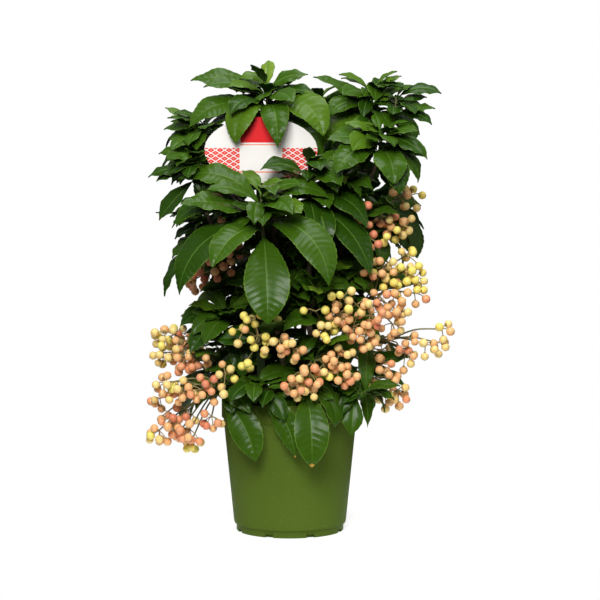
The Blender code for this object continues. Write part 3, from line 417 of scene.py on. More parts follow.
label = new_piece("label_card", card_corners, card_faces, [card, bare_card, stake_painted_shade], False, card_slots)
point_outward(label.data)
print_layer = label.data.uv_layers.new(name="print")
for loop in label.data.loops:
    print_layer.data[loop.index].uv = card_outline_points[loop.vertex_index % edge]
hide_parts("plant_label")
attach(label, "root")

# Seven woody stems rise from the peat, thickest and flared at the foot, grey-brown, with rings where old leaves sat.
# Four boughs part from them higher up. Each keeps to its own space, and nothing that grows later may enter it.
# Stem: foot x, y, then tip x, y, z, then radius at the foot
STEMS = {
    "stem_centre": (-6, 12, -21, 6, 388, 3.6),
    "stem_left": (-30, 12, -79, 0, 358, 3.4),
    "stem_right": (26, 6, 76, 8, 386, 3.6),
    "stem_front": (-2, -28, -24, -56, 280, 3.2),
    "stem_front_right": (18, -18, 18, -36, 306, 3.0),
    "stem_back": (10, 36, 26, 66, 368, 3.4),
    "stem_back_left": (-24, 34, -52, 60, 338, 3.2),
}
STEM_TIP_RADIUS = 1.7
ROOT_FLARE, FLARE_HEIGHT = 1.3, 7.0
UPRIGHT_FOOT = 4.0
# Bough: its stem, the height it leaves at, then its tip x, y, z
BOUGHS = {
    "bough_far_right": ("stem_right", 344, 98, -8, 388),
    "bough_right_front": ("stem_right", 310, 82, -40, 354),
    "bough_left_front": ("stem_left", 290, -87, -26, 335),
    "bough_back_right": ("stem_back", 220, 72, 58, 290),
}
BOUGH_RADII = (1.9, 1.4)
BOUGH_LIFT = -6.0
BARK_DARK, BARK_PALE = (0.075, 0.05, 0.032), (0.2, 0.15, 0.1)
NODE_EVERY, NODE_SWELL = 15.0, 0.28


def vec(x, y, z):
    return np.array((x, y, z), float)


def unit(v):
    return v / max(float(np.linalg.norm(v)), 1e-9)


def arch(start, end, bow, steps):
    """Points from start to end along an arch whose middle stands off its chord by bow."""
    t = np.linspace(0, 1, steps)[:, None]
    return start + (end - start) * t + bow * 4 * t * (1 - t)


def along(line, step=1.5):
    """The line's points with others between them, at most step apart."""
    found = [line[:1]]
    for a, b in zip(line, line[1:]):
        count = max(1, math.ceil(float(np.linalg.norm(b - a)) / step))
        found.append(a + (b - a) * (np.arange(1, count + 1) / count)[:, None])
    return np.vstack(found)


STEPS_ROUND = [(i, j, k) for i in (-1, 0, 1) for j in (-1, 0, 1) for k in (-1, 0, 1)]
BALL = np.array([unit(vec(*step)) for step in STEPS_ROUND if any(step)])


def thick(points, radius):
    """The points, and others at the radius round each."""
    return np.vstack([points, (points[:, None] + BALL * radius).reshape(-1, 3)])


LIMB, TWIG, BERRY, LEAF = 1, 2, 3, 4


class Room:
    """The space held by each limb and mass, in small cells: the first to claim a cell keeps it."""

    CELL = 1.7
    LOW = vec(-190, -190, 40)
    SIZE = (224, 224, 250)

    def __init__(self):
        self.owner = np.zeros(self.SIZE, np.int16)
        self.kind = np.zeros(self.SIZE, np.int8)
        self.names = [""]

    def number(self, name):
        if name not in self.names:
            self.names.append(name)
        return self.names.index(name)

    def index(self, points):
        return tuple(np.floor((points - self.LOW) / self.CELL).astype(int).T)

    def met(self, points, *free):
        """The owners of these points' cells, other than those in free."""
        found = np.unique(self.owner[self.index(points)])
        return {self.names[n] for n in found if n} - set(free)

    def own_kinds(self, points, name):
        at = self.index(points)
        return set(self.kind[at][self.owner[at] == self.number(name)].tolist())

    def claim(self, points, name, kind):
        """Takes the points' free cells and the free cells round them; the points' own cells note the kind."""
        number = self.number(name)
        x, y, z = self.index(points)
        for i, j, k in STEPS_ROUND:
            at = (x + i, y + j, z + k)
            free = self.owner[at] == 0
            self.owner[tuple(a[free] for a in at)] = number
        own = self.owner[x, y, z] == number
        self.kind[x[own], y[own], z[own]] = kind


def stem_line(foot, tip, dice, steps=10):
    """A stem's points: upright at its cut foot, then leaning out more and more, a little crooked."""
    t = np.linspace(0, 1, steps + 1)
    sway = [np.array([dice.uniform(-1.4, 1.4) * math.sin(math.pi * s) for s in t]) for _ in "xy"]
    x, y = (foot[i] + (tip[i] - foot[i]) * t ** 1.3 + sway[i] for i in (0, 1))
    line = np.stack([x, y, foot[2] + (tip[2] - foot[2]) * t], axis=1)
    return np.vstack([foot, foot + vec(0, 0, UPRIGHT_FOOT), line[1:]])


def stem_radii(line, radius):
    """A steady taper to the tip, with a short flare at the foot."""
    rise = line[:, 2] - line[0, 2]
    return radius + (STEM_TIP_RADIUS - radius) * rise / rise[-1] + ROOT_FLARE * np.exp(-rise / FLARE_HEIGHT)


def side_limb(room, name, limb, line, radii, height, tip, radius, lift):
    """An arch from beside a stem to the tip, bowed aside until it meets nothing, its cut end clear."""
    on = np.array([np.interp(height, line[:, 2], line[:, i]) for i in range(3)])
    stem_radius = float(np.interp(height, line[:, 2], radii))
    flat = unit((tip - on) * (1, 1, 0))
    aside = vec(-flat[1], flat[0], 0)
    for bow in (0, 8, -8, 16, -16, 26, -26):
        for rise in (0, 10, -10, 22):
            arc = aside * bow + vec(0, 0, lift + rise)
            first = unit(arch(on, tip, arc, 6)[1] - on)
            reach = stem_radius + GAP + radius * (abs(first[2]) + 0.15)
            start = on + unit(first * (1, 1, 0)) * reach
            route = arch(start, tip, arc, 6)
            space = thick(along(route), radius)
            clear = np.linalg.norm(space - on, axis=1) > stem_radius + 6
            if not room.met(space[clear], name) and not room.met(along(route), name, limb):
                return route
    return route


def card_points():
    """Points all over the label's card and down its stake."""
    lean = math.radians(CARD_LEAN)
    up = vec(0, math.sin(lean), math.cos(lean))
    foot = (CARD_Z - SOIL_TOP - GAP) / math.cos(lean)
    places = [(i * CARD_HALF_WIDTH, j * CARD_HALF_HEIGHT) for i in np.linspace(-1, 1, 77)
              for j in np.linspace(-1, 1, 45) if i * i + j * j <= 1.02]
    places += [(i, -j) for i in np.linspace(-STAKE_TOP_HALF, STAKE_TOP_HALF, 5)
               for j in np.arange(CARD_HALF_HEIGHT, foot, 1.4)]
    return np.array([vec(CARD_X, CARD_Y, CARD_Z) + vec(1, 0, 0) * i + up * j for i, j in places])


def pot_points():
    """Points on the pot's wall and rim, from where the lowest leaves hang up to the rim."""
    turns = np.radians(np.arange(0, 360, 1.2))
    heights = np.arange(46.0, POT_HEIGHT + 1, 1.4)
    radii = np.interp(heights, (FOOT_HEIGHT, POT_HEIGHT - RIM_BAND - 1, POT_HEIGHT - RIM_BAND, POT_HEIGHT),
                      (BODY_FOOT_RADIUS, BODY_TOP_RADIUS, RIM_RADIUS, RIM_RADIUS))
    return np.array([vec(r * math.cos(t), r * math.sin(t), z) for z, r in zip(heights, radii) for t in turns])


def soil_points():
    """Points all over the soil's flat top."""
    places = np.arange(-RIM_RADIUS, RIM_RADIUS, 1.4)
    return np.array([vec(x, y, SOIL_TOP) for x in places for y in places if math.hypot(x, y) < RIM_RADIUS])


def grow_limbs(room):
    """The stems and boughs, each a line with its radii."""
    limbs = {}
    for number, (name, (foot_x, foot_y, x, y, z, radius)) in enumerate(STEMS.items()):
        line = stem_line(vec(foot_x, foot_y, SOIL_TOP + GAP), vec(x, y, z), random.Random(11 + number))
        limbs[name] = (line, stem_radii(line, radius))
        room.claim(thick(along(line), radius - 0.6), name, LIMB)
    room.claim(card_points(), "plant_label", LIMB)
    for name, (stem, height, x, y, z) in BOUGHS.items():
        line = side_limb(room, name, stem, *limbs[stem], height, vec(x, y, z), BOUGH_RADII[0], BOUGH_LIFT)
        limbs[name] = (line, np.linspace(*BOUGH_RADII, len(line)))
        room.claim(thick(along(line), BOUGH_RADII[1]), name, LIMB)
    return limbs


room = Room()
room.claim(pot_points(), "pot", LIMB)
room.claim(soil_points(), "soil", LIMB)
limbs = grow_limbs(room)


def limb_mesh(line, radii, number, sides=12, step=2.2):
    """A limb's skin: rings along it, swollen at its nodes and wrinkled lengthwise, with closed ends."""
    dice = random.Random(611 + number)
    spots = along(line, step)
    rise = np.concatenate([[0], np.cumsum(np.linalg.norm(np.diff(spots, axis=0), axis=1))])
    knots = np.concatenate([[0], np.cumsum(np.linalg.norm(np.diff(line, axis=0), axis=1))])
    radius = np.interp(rise, knots, radii)
    swell = np.zeros(len(spots))
    place = dice.uniform(4, NODE_EVERY)
    while place < rise[-1]:
        swell += np.exp(-((rise - place) / 1.6) ** 2) * dice.uniform(0.5, 1.0)
        place += NODE_EVERY * dice.uniform(0.6, 1.3)
    wrinkle = np.array([[dice.uniform(-1, 1) for _ in range(sides)] for _ in spots])
    for _ in range(2):
        wrinkle = (np.roll(wrinkle, 1, 0) + wrinkle + np.roll(wrinkle, -1, 0)) / 2.2
    ahead = np.gradient(spots, axis=0)
    side = unit(np.cross(ahead[0], vec(0.3, 0.2, 1)))
    points, faces = [spots[0]], []
    for i, spot in enumerate(spots):
        way = unit(ahead[i]) if 0 < i else vec(0, 0, 1) if ahead[0][2] > 0.9 * np.linalg.norm(ahead[0]) else unit(ahead[i])
        side = unit(side - way * float(side @ way))
        over = np.cross(way, side)
        for j in range(sides):
            turn = 2 * math.pi * j / sides
            reach = radius[i] + NODE_SWELL * swell[i] + 0.09 * wrinkle[i][j]
            points.append(spot + reach * (side * math.cos(turn) + over * math.sin(turn)))
    points.append(spots[-1])
    last = len(points) - 1
    for j in range(sides):
        after = (j + 1) % sides
        faces.append((0, 1 + after, 1 + j))
        faces.append((last, last - sides + j, last - sides + after))
        for i in range(len(spots) - 1):
            low, high = 1 + i * sides, 1 + (i + 1) * sides
            faces.append((low + j, low + after, high + after, high + j))
    return points, faces


bark, board, sockets = new_finish("grey-brown bark", BARK_PALE, 0.8)
flecks = board.noise(900, 4)
bands = board.noise(160, 2)
feed(board, board.mix(flecks * 0.6 + bands * 0.5, BARK_DARK, BARK_PALE), sockets["Base Color"])
bump(board, sockets, flecks, 0.5, 0.0006)
for number, (name, (line, radii)) in enumerate(limbs.items()):
    limb = new_piece("bark_" + name, *limb_mesh(line, radii, number), [bark])
    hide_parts(name)
    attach(limb, "root")

# Green twigs carry the leaves and the fruit: each goes on from a limb's tip, or parts from a stem's side in an arch.
# They and the fruit stalks are smooth, green at first and browner with age, and taper to their ends.
# Crown: its limb, shoot length, leaves, then the lowest leaf's azimuth, length, width,
# rise at its foot and fall at its tip
CROWNS = {
    "crown_front": ("stem_front", 42, 17, 92, 96, 34, 20, -76),
    "crown_front_right": ("stem_front_right", 42, 17, -30, 84, 31, 26, -74),
    "crown_centre": ("stem_centre", 36, 20, -42, 82, 32, 30, -76),
    "crown_left": ("stem_left", 34, 16, 172, 60, 25, 20, -64),
    "crown_right": ("stem_right", 34, 20, -100, 74, 28, 20, -80),
    "crown_far_right": ("bough_far_right", 26, 15, 70, 44, 20, 20, -62),
    "crown_right_front": ("bough_right_front", 26, 15, -50, 66, 27, 25, -84),
    "crown_left_front": ("bough_left_front", 20, 12, -20, 46, 21, 20, -50),
    "crown_back": ("stem_back", 40, 19, 80, 82, 31, 25, -78),
    "crown_back_left": ("stem_back_left", 36, 18, 130, 82, 31, 25, -76),
    "crown_back_right": ("bough_back_right", 28, 16, 30, 80, 31, 25, -78),
}
# Side crown: its stem, the height it leaves at, twig tip x, y, z, then leaves and the rest as for a crown
SIDE_CROWNS = {
    "crown_low_left": ("stem_left", 176, -60, -32, 208, 15, 196, 74, 28, 20, -70),
    "crown_low_right": ("stem_right", 200, 66, -22, 250, 15, -60, 78, 30, 30, -70),
    "crown_low_centre": ("stem_centre", 190, -4, -24, 232, 16, -120, 84, 32, 35, -60),
    "crown_middle_right": ("stem_right", 262, 94, 8, 292, 14, -10, 60, 24, 30, -76),
    "crown_high_right": ("stem_right", 296, 42, -34, 332, 14, -20, 76, 27, 40, -66),
    "crown_inner_middle": ("stem_back", 224, 4, 24, 276, 16, 230, 80, 32, 40, -66),
    "crown_inner_right": ("stem_right", 226, 48, 34, 268, 15, 280, 78, 30, 40, -70),
    "crown_inner_left": ("stem_back_left", 186, -38, 14, 236, 15, 260, 76, 30, 40, -66),
    "crown_foot": ("stem_centre", 136, -18, -6, 172, 14, 250, 64, 26, 30, -60),
    "crown_inner_front": ("stem_front_right", 206, 24, -50, 238, 14, 200, 62, 25, 20, -64),
    "crown_middle_left": ("stem_left", 254, -80, 0, 306, 14, 175, 60, 24, 30, -74),
    "crown_back_low": ("stem_back", 176, -8, 78, 240, 16, 100, 84, 32, 30, -76),
}
# Spray of fruit at the front: its stem, the height it leaves at, hub x, y, z, leaves,
# then each umbel's x, y, z and its berries
SPRAYS = {
    "fruit_left_top": ("stem_left", 160, -80, -16, 152, 3, (
        (-124, -20, 182, 8), (-112, -36, 186, 8), (-112, -6, 170, 6), (-98, -42, 164, 8), (-86, -46, 168, 6),
        (-124, -30, 166, 6))),
    "fruit_left_middle": ("stem_front", 146, -80, -42, 140, 0, (
        (-122, -36, 136, 7), (-106, -46, 130, 7), (-114, -50, 152, 5), (-84, -60, 130, 6), (-70, -66, 142, 8),
        (-56, -68, 150, 5))),
    "fruit_left_low": ("stem_left", 136, -74, -10, 126, 2, (
        (-130, -12, 118, 3), (-129, -22, 86, 8), (-112, -34, 98, 9), (-73, -54, 104, 6), (-94, -30, 78, 5),
        (-106, -6, 86, 7), (-96, -48, 90, 7), (-122, -18, 104, 5), (-100, -34, 113, 6))),
    "fruit_front_left": ("stem_front", 178, -30, -64, 186, 3, (
        (-10, -74, 212, 3), (-37, -78, 203, 4), (-47, -74, 190, 4), (-28, -82, 184, 5), (-18, -84, 176, 4),
        (-40, -74, 158, 3), (-6, -84, 178, 8), (8, -80, 170, 5))),
    "fruit_front_right": ("stem_front_right", 162, 24, -60, 166, 2, (
        (6, -80, 154, 8), (18, -84, 146, 8), (34, -80, 156, 8), (48, -76, 158, 7), (56, -68, 146, 6),
        (8, -84, 136, 6), (54, -72, 169, 4))),
    "fruit_right_front": ("stem_front_right", 186, 40, -52, 192, 4, (
        (46, -74, 208, 9), (64, -66, 192, 9), (34, -74, 196, 5), (76, -58, 182, 8), (52, -66, 180, 7),
        (28, -76, 178, 4), (66, -62, 216, 6), (80, -60, 200, 7), (50, -78, 224, 5), (21, -76, 210, 2))),
    "fruit_right_middle": ("stem_right", 214, 84, -14, 222, 4, (
        (112, -22, 244, 8), (124, -14, 236, 7), (88, -38, 250, 8), (98, -34, 234, 8), (84, -44, 218, 8),
        (104, -32, 218, 7), (124, -12, 219, 4), (92, -46, 204, 7), (104, -36, 202, 6), (76, -50, 234, 6),
        (114, -14, 260, 6), (98, -38, 188, 6))),
    "fruit_right_high": ("stem_right", 276, 62, -34, 290, 2, (
        (56, -54, 290, 7), (72, -52, 276, 8), (68, -50, 298, 5), (34, -50, 308, 4))),
    "fruit_right_top": ("stem_right", 294, 94, -2, 304, 3, (
        (86, -26, 302, 6), (98, -22, 288, 6), (110, -8, 312, 5), (121, 4, 314, 4), (94, -30, 278, 4),
        (106, -14, 278, 5))),
    "fruit_right_reach": ("stem_right", 174, 92, -8, 180, 1, (
        (150, -14, 186, 4), (146, -8, 171, 5), (134, -20, 170, 4), (116, -20, 176, 4), (114, -14, 154, 3),
        (114, -18, 163, 4), (104, -28, 178, 5))),
    "fruit_right_low": ("stem_right", 150, 74, -20, 144, 2, (
        (98, -28, 140, 7), (94, -32, 158, 7), (94, -34, 121, 6), (108, -12, 130, 6), (84, -38, 148, 5))),
    "fruit_left_inner": ("stem_left", 256, -60, -20, 262, 2, (
        (-72, -26, 290, 5), (-80, -32, 262, 5), (-66, -42, 246, 6), (-52, -42, 256, 5), (-86, -26, 242, 5))),
}
# Spray of fruit at the back: its stem, the height it leaves at, hub x, y, z, leaves,
# then the umbels, their azimuth, fan and reach
BACK_SPRAYS = {
    "fruit_back_right": ("stem_back", 168, 62, 62, 160, 3, 5, 42, 120, 42),
    "fruit_back": ("stem_back", 150, 2, 88, 144, 3, 5, 92, 120, 36),
    "fruit_back_left": ("stem_back_left", 172, -74, 62, 164, 3, 5, 140, 120, 40),
    "fruit_back_high": ("stem_back", 262, 30, 98, 258, 3, 4, 80, 150, 28),
    "fruit_back_left_high": ("stem_back_left", 246, -76, 60, 240, 3, 4, 150, 130, 28),
}
BACK_BERRIES = 7
# Skirt of leaves over the rim: its stem, the height it leaves at, twig tip x, y, z
SKIRTS = {
    "skirt_front_left": ("stem_left", 122, -76, -62, 136),
    "skirt_front": ("stem_front", 132, -40, -66, 142),
    "skirt_front_right": ("stem_front_right", 132, 14, -64, 144),
    "skirt_right": ("stem_right", 132, 70, -58, 138),
    "skirt_back": ("stem_back", 132, 24, 58, 142),
    "skirt_left": ("stem_back_left", 132, -56, 28, 142),
}
# A skirt's leaves away from the front: how many, their azimuth, fan, length and width
SKIRT_FANS = {
    "skirt_right": (3, 60, 70, 44, 21),
    "skirt_back": (6, 70, 130, 80, 31),
    "skirt_left": (6, 160, 120, 80, 31),
}
SKIRT_RISE, SKIRT_FALL = 10, -84
TWIG_RADII = (1.5, 1.0)


def new_mass(limb, twig, radii):
    return dict(limb=limb, twigs=[(twig, radii)], stalks=[], leaves=[], berries=[])


def back_umbels(number, hub, count, azimuth, fan, reach):
    """Umbels spread in a fan about a hub, some above it and some hanging below."""
    dice = random.Random(201 + number)
    found = []
    for k in range(count):
        turn = math.radians(azimuth + fan * ((k + 0.5) / count - 0.5))
        pitch = -0.9 + 1.3 * ((k * 0.618) % 1)
        far = reach * dice.uniform(0.75, 1.1)
        way = vec(math.cos(turn) * math.cos(pitch), math.sin(turn) * math.cos(pitch), math.sin(pitch))
        found.append((*(hub + far * way), BACK_BERRIES))
    return found


def grow_twigs(room, limbs, sprays):
    """Each mass with its twig only: the shoot on from a limb's tip, or a twig from a stem's side."""
    masses = {}
    for name, (limb, reach, *_) in CROWNS.items():
        line, radii = limbs[limb]
        ahead = unit(unit(line[-1] - line[-2]) + vec(0, 0, 1.2))
        upright = unit(ahead + vec(0, 0, 0.5))
        tip = line[-1]
        shoot = np.array([tip + (GAP + 0.5) * ahead, tip + reach * 0.5 * ahead, tip + reach * upright])
        masses[name] = new_mass(limb, shoot, (float(radii[-1]), TWIG_RADII[1]))
        room.claim(along(shoot), name, TWIG)
    sides = {name: rule[:5] for name, rule in (SIDE_CROWNS | SKIRTS).items()}
    sides |= {name: (stem, height, *hub) for name, (stem, height, hub, *_) in sprays.items()}
    for name, (stem, height, *tip) in sides.items():
        twig = side_limb(room, name, stem, *limbs[stem], height, vec(*tip), TWIG_RADII[0], 4)
        masses[name] = new_mass(stem, twig, TWIG_RADII)
        room.claim(along(twig), name, TWIG)
    return masses


def on_twig(twig, share):
    """The place on a twig at a share of its points."""
    at = share * (len(twig) - 1)
    return np.array([np.interp(at, np.arange(len(twig)), twig[:, i]) for i in range(3)])

TWIG_GREEN, TWIG_BROWN = (0.11, 0.14, 0.035), (0.13, 0.09, 0.045)

sprays = {}
for name, (stem, height, x, y, z, leaves, umbels) in SPRAYS.items():
    sprays[name] = (stem, height, vec(x, y, z), leaves, umbels)
for number, (name, (stem, height, x, y, z, leaves, *fan)) in enumerate(BACK_SPRAYS.items()):
    sprays[name] = (stem, height, vec(x, y, z), leaves, back_umbels(number, vec(x, y, z), *fan))
masses = grow_twigs(room, limbs, sprays)


def tube_tree():
    """A tree that makes every run of edges a round tube, by the radius of its points, with closed ends."""
    board, given = new_tree("tubes along lines", {"Sides": "NodeSocketInt", "Material": "NodeSocketMaterial"})
    radius = board.node("GeometryNodeInputNamedAttribute", dict(data_type="FLOAT"), {"Name": "thickness"})
    line = board.node("GeometryNodeMeshToCurve", None, {"Mesh": given})
    ring = board.node("GeometryNodeCurvePrimitiveCircle", None, {"Resolution": given.also("Sides"), "Radius": 1.0})
    tube = board.node("GeometryNodeCurveToMesh", None,
                      {"Curve": line, "Profile Curve": ring, "Scale": radius, "Fill Caps": True})
    return finish_tree(board, tube, given)


along_lines = tube_tree()


def run_tubes(name, lines, material, sides):
    """One piece with a tube along each line. A line comes with its radii in millimetres."""
    points, edges, radii = [], [], []
    for line, thickness in lines:
        edges += [(len(points) + i, len(points) + i + 1) for i in range(len(line) - 1)]
        points += list(line)
        radii += [float(r) * MM for r in np.linspace(*thickness, len(line))]
    return run_tree(name, along_lines, points, edges, dict(thickness=radii), dict(Sides=sides, Material=material))


def smooth_line(line, per=4):
    """The line's points with others on a smooth curve between them."""
    at = np.linspace(0, len(line) - 1, (len(line) - 1) * per + 1)
    slope = np.gradient(line, axis=0)
    found = []
    for t in at:
        i = min(int(t), len(line) - 2)
        s = t - i
        a, b, c, d = 2 * s**3 - 3 * s**2 + 1, s**3 - 2 * s**2 + s, 3 * s**2 - 2 * s**3, s**3 - s**2
        found.append(line[i] * a + slope[i] * b + line[i + 1] * c + slope[i + 1] * d)
    return np.array(found)


twig_skin, board, sockets = new_finish("twig skin", TWIG_GREEN, 0.55)
age = board.noise(60, 2)
feed(board, board.mix(age, TWIG_GREEN, TWIG_BROWN), sockets["Base Color"])
bump(board, sockets, board.noise(1100, 3), 0.3, 0.0004)
twigs = run_tubes("twigs", [(smooth_line(line), radii) for mass in masses.values() for line, radii in mass["twigs"]],
                  twig_skin, 8)
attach(twigs, "root")

# The leaves that show from the front come first, then those that stand among the fruit. A leaf takes the place that
# it is given, or the nearest turn of it that meets no limb, no fruit and no other mass.
# Leaves that the front view shows, from the lowest up: azimuth, rise, fall, length, width,
# and for some the sweep and roll
SHOWN_LEAVES = {
    "crown_front": (
        (-84, -30, -88, 98, 43), (-155, 18, -88, 118, 36), (-40, 20, -88, 112, 36), (-172, 50, -58, 98, 32),
        (-158, 28, -10, 82, 31), (-48, 30, -30, 58, 28), (172, 62, -26, 92, 29), (-8, 50, -42, 70, 25)),
    "crown_front_right": (
        (-30, -12, -76, 96, 30), (-22, 28, -74, 76, 26), (-75, 20, -40, 44, 22), (-168, 35, -62, 54, 26),
        (-30, 25, 0, 34, 14), (-10, 60, 0, 42, 18)),
    "crown_centre": (
        (-157, 45, -58, 92, 34), (-40, 40, -90, 90, 35), (-80, 35, -95, 84, 27), (-122, 35, -98, 80, 30),
        (-12, 35, -65, 70, 29), (176, 46, -14, 80, 30), (188, 40, -20, 66, 26), (5, 55, 0, 46, 17),
        (88, 76, 12, 48, 14)),
    "crown_left": (
        (-155, 10, -70, 48, 22), (-165, 10, -55, 40, 22), (178, 30, -25, 36, 18), (175, 57, 16, 48, 18),
        (-62, 10, -40, 50, 26), (186, 25, -14, 40, 18)),
    "crown_right": (
        (-100, 0, -85, 76, 27), (-160, 20, -80, 72, 28), (-165, 10, -50, 54, 21), (-172, 50, 10, 66, 23),
        (5, 50, 10, 44, 16), (-25, 30, -30, 46, 20), (-130, 40, -30, 48, 20), (10, 60, 10, 36, 13)),
    "crown_far_right": (
        (-60, 20, -86, 46, 21), (-5, 30, -12, 40, 15), (-28, 5, -70, 40, 17), (10, 35, -10, 32, 13)),
    "crown_right_front": (
        (-75, 30, -84, 66, 31), (-125, 25, -60, 70, 29), (-12, 12, -94, 56, 21), (-155, 15, -25, 56, 23),
        (-35, 40, -20, 44, 20)),
    "crown_high_right": (
        (-38, 25, -70, 84, 27), (-95, 10, -84, 70, 28), (-150, 25, -50, 62, 23), (-10, 30, -60, 70, 24),
        (-62, 35, -60, 66, 24)),
    "crown_middle_right": ((-40, 25, -88, 74, 25), (-70, 0, -86, 56, 22)),
    "crown_left_front": (
        (190, -40, -56, 54, 24), (-176, 28, -36, 48, 18), (-130, 10, -60, 44, 21), (-80, 0, -80, 46, 22)),
    "crown_middle_left": (
        (196, -14, -84, 78, 26), (188, 0, -64, 48, 20), (180, 14, -50, 38, 18), (-90, 0, -60, 44, 22)),
    "crown_low_left": (
        (190, -10, -34, 62, 22), (-80, -30, -86, 60, 22), (215, 0, -60, 60, 24), (-45, 0, -40, 50, 20)),
    "fruit_left_middle": ((85, 45, -10, 36, 16),),
    "fruit_right_reach": ((-103, -6, -86, 67, 18),),
    "fruit_right_low": ((8, 28, -52, 54, 19), (-72, -30, -100, 52, 13)),
    "skirt_front_left": ((-30, -26, -80, 77, 30, 0, 28), (12, 30, 0, 34, 15)),
    "skirt_front": ((-17, -32, -85, 75, 23, 0, 38), (62, 40, -15, 42, 18)),
    "skirt_front_right": ((-80, -29, -100, 84, 33), (-37, 1, -106, 59, 26), (-165, 5, -40, 36, 20)),
    "skirt_right": ((-105, -50, -86, 44, 20),),
}
SPRAY_LEAF, SPRAY_LEAF_WIDTH = 58, 23
# A leaf's facets: share of its length, share of its half width, depth of the keel under it
LEAF_SECTIONS = ((0.0, 0.0, 0.0), (0.3, 0.86, 1.3), (0.66, 0.92, 1.2), (1.0, 0.0, 0.0))
SMALL_LEAF = 74
SMALL_LEAF_SECTIONS = ((0.0, 0.0, 0.0), (0.46, 1.0, 1.2), (1.0, 0.0, 0.0))
LEAF_STEPS = 12
FREE_SHARE = 0.34
# Turn, tilt and size that a leaf tries in turn where its first place is taken
LEAF_TRIES = (
    (0, 0, 1.0), (7, 0, 1.0), (-7, 0, 1.0), (0, -9, 1.0), (0, 9, 1.0), (13, 8, 1.0), (-13, 8, 1.0),
    (13, -8, 1.0), (-13, -8, 1.0), (0, 18, 0.92), (20, 0, 0.92), (-20, 0, 0.92), (0, 0, 0.8), (10, 12, 0.8),
    (-10, 12, 0.8), (10, -12, 0.8), (-10, -12, 0.8), (26, 0, 0.8), (-26, 0, 0.8), (0, 28, 0.8), (0, -24, 0.8),
    (36, 16, 0.72), (-36, 16, 0.72), (36, -16, 0.72), (-36, -16, 0.72), (0, 0, 0.62), (16, 18, 0.62),
    (-16, 18, 0.62), (16, -18, 0.62), (-16, -18, 0.62),
)
FACE_OUT = 38.0
GOLDEN_ANGLE = 137.5


def bend_line(start, azimuth, rise, fall, length, sweep, steps=LEAF_STEPS):
    """Points along a blade that sets out at a pitch of rise degrees and ends at fall, turning by sweep."""
    share = (np.arange(steps) + 0.5) / steps
    pitch = np.radians(rise + (fall - rise) * share)
    turn = np.radians(azimuth + sweep * share)
    way = np.stack([np.cos(pitch) * np.cos(turn), np.cos(pitch) * np.sin(turn), np.sin(pitch)], axis=1)
    return np.vstack([start, start + np.cumsum(way * length / steps, axis=0)])


def leaf_frames(blade):
    """A blade's centre line, with its side and up vectors."""
    line = bend_line(*(blade[part] for part in ("base", "azimuth", "rise", "fall", "length", "sweep")))
    ahead = np.gradient(line, axis=0)
    ahead /= np.linalg.norm(ahead, axis=1)[:, None]
    turn = np.radians(blade["azimuth"] + blade["sweep"] * np.linspace(0, 1, len(line)))
    level = np.stack([-np.sin(turn), np.cos(turn), 0 * turn], axis=1)
    up = np.cross(ahead, level)
    roll = math.radians(blade["roll"])
    side = level * math.cos(roll) + up * math.sin(roll)
    return line, side, up * math.cos(roll) - level * math.sin(roll)


def facets_of(blade):
    return SMALL_LEAF_SECTIONS if blade["length"] < SMALL_LEAF else LEAF_SECTIONS


def leaf_sections(blade):
    """The blade's facet sections: centre, half-width vector and keel vector of each."""
    line, side, up = leaf_frames(blade)
    share = np.linspace(0, 1, len(line))
    found = []
    for at, breadth, keel in facets_of(blade):
        centre, across, upward = (
            np.array([np.interp(at, share, v[:, i]) for i in range(3)]) for v in (line, side, up))
        found.append((centre, unit(across) * breadth * blade["width"] / 2, -unit(upward) * keel))
    return found


def leaf_points(blade):
    """Points all over the faceted blade, near enough together to find its every cell, and their shares."""
    points, shares = [], []
    sections, facets = leaf_sections(blade), facets_of(blade)
    for i, ((a, side_a, keel_a), (b, side_b, keel_b)) in enumerate(zip(sections, sections[1:])):
        count = math.ceil(float(np.linalg.norm(b - a)) / 1.4)
        across = np.linspace(-1, 1, max(5, math.ceil(blade["width"] / 1.4)))
        for t in np.arange(count + 1) / count:
            centre, side = a + (b - a) * t, side_a + (side_b - side_a) * t
            row = centre + across[:, None] * side
            points.append(np.vstack([row, centre + keel_a + (keel_b - keel_a) * t]))
            shares.append(np.full(len(row) + 1, facets[i][0] * (1 - t) + facets[i + 1][0] * t))
    return np.vstack(points), np.concatenate(shares)


def place_leaf(room, mass, limb, want):
    """The wanted blade, or the first turned or shorter one that meets no other mass, no limb and no fruit.

    Near its foot it may touch its own mass, and further out it does so only where no try avoids it.
    """
    crossing = None
    for turn, tilt, size in LEAF_TRIES:
        blade = dict(want, azimuth=want["azimuth"] + turn, rise=want["rise"] + tilt, fall=want["fall"] + tilt,
                     length=want["length"] * size, width=want["width"] * size)
        points, share = leaf_points(blade)
        if room.met(points[share > 0.12], mass) or room.met(points, mass, limb):
            continue
        if BERRY in room.own_kinds(points, mass):
            continue
        if LEAF in room.own_kinds(points[share > FREE_SHARE], mass):
            crossing = crossing or (blade, points, share)
            continue
        break
    else:
        if crossing is None:
            return None
        blade, points, share = crossing
    room.claim(points[share <= FREE_SHARE], mass, TWIG)
    room.claim(points[share > FREE_SHARE], mass, LEAF)
    return blade


def add_leaf(room, masses, name, share, azimuth, rise, fall, length, width, sweep=0.0, roll=0.0):
    """Adds a leaf at a share of the mass's twig, where there is room, its face rolled out to the light."""
    mass = masses[name]
    base = on_twig(mass["twigs"][0][0], share)
    outward = unit(vec(0.2 * base[0], base[1] - 24, 0))
    turn = math.radians(azimuth)
    roll += FACE_OUT * float(outward @ vec(math.sin(turn), -math.cos(turn), 0))
    want = dict(base=base, azimuth=azimuth, rise=rise, fall=fall)
    want |= dict(length=length, width=width, sweep=sweep, roll=roll)
    blade = place_leaf(room, name, mass["limb"], want)
    if blade:
        mass["leaves"].append(blade)


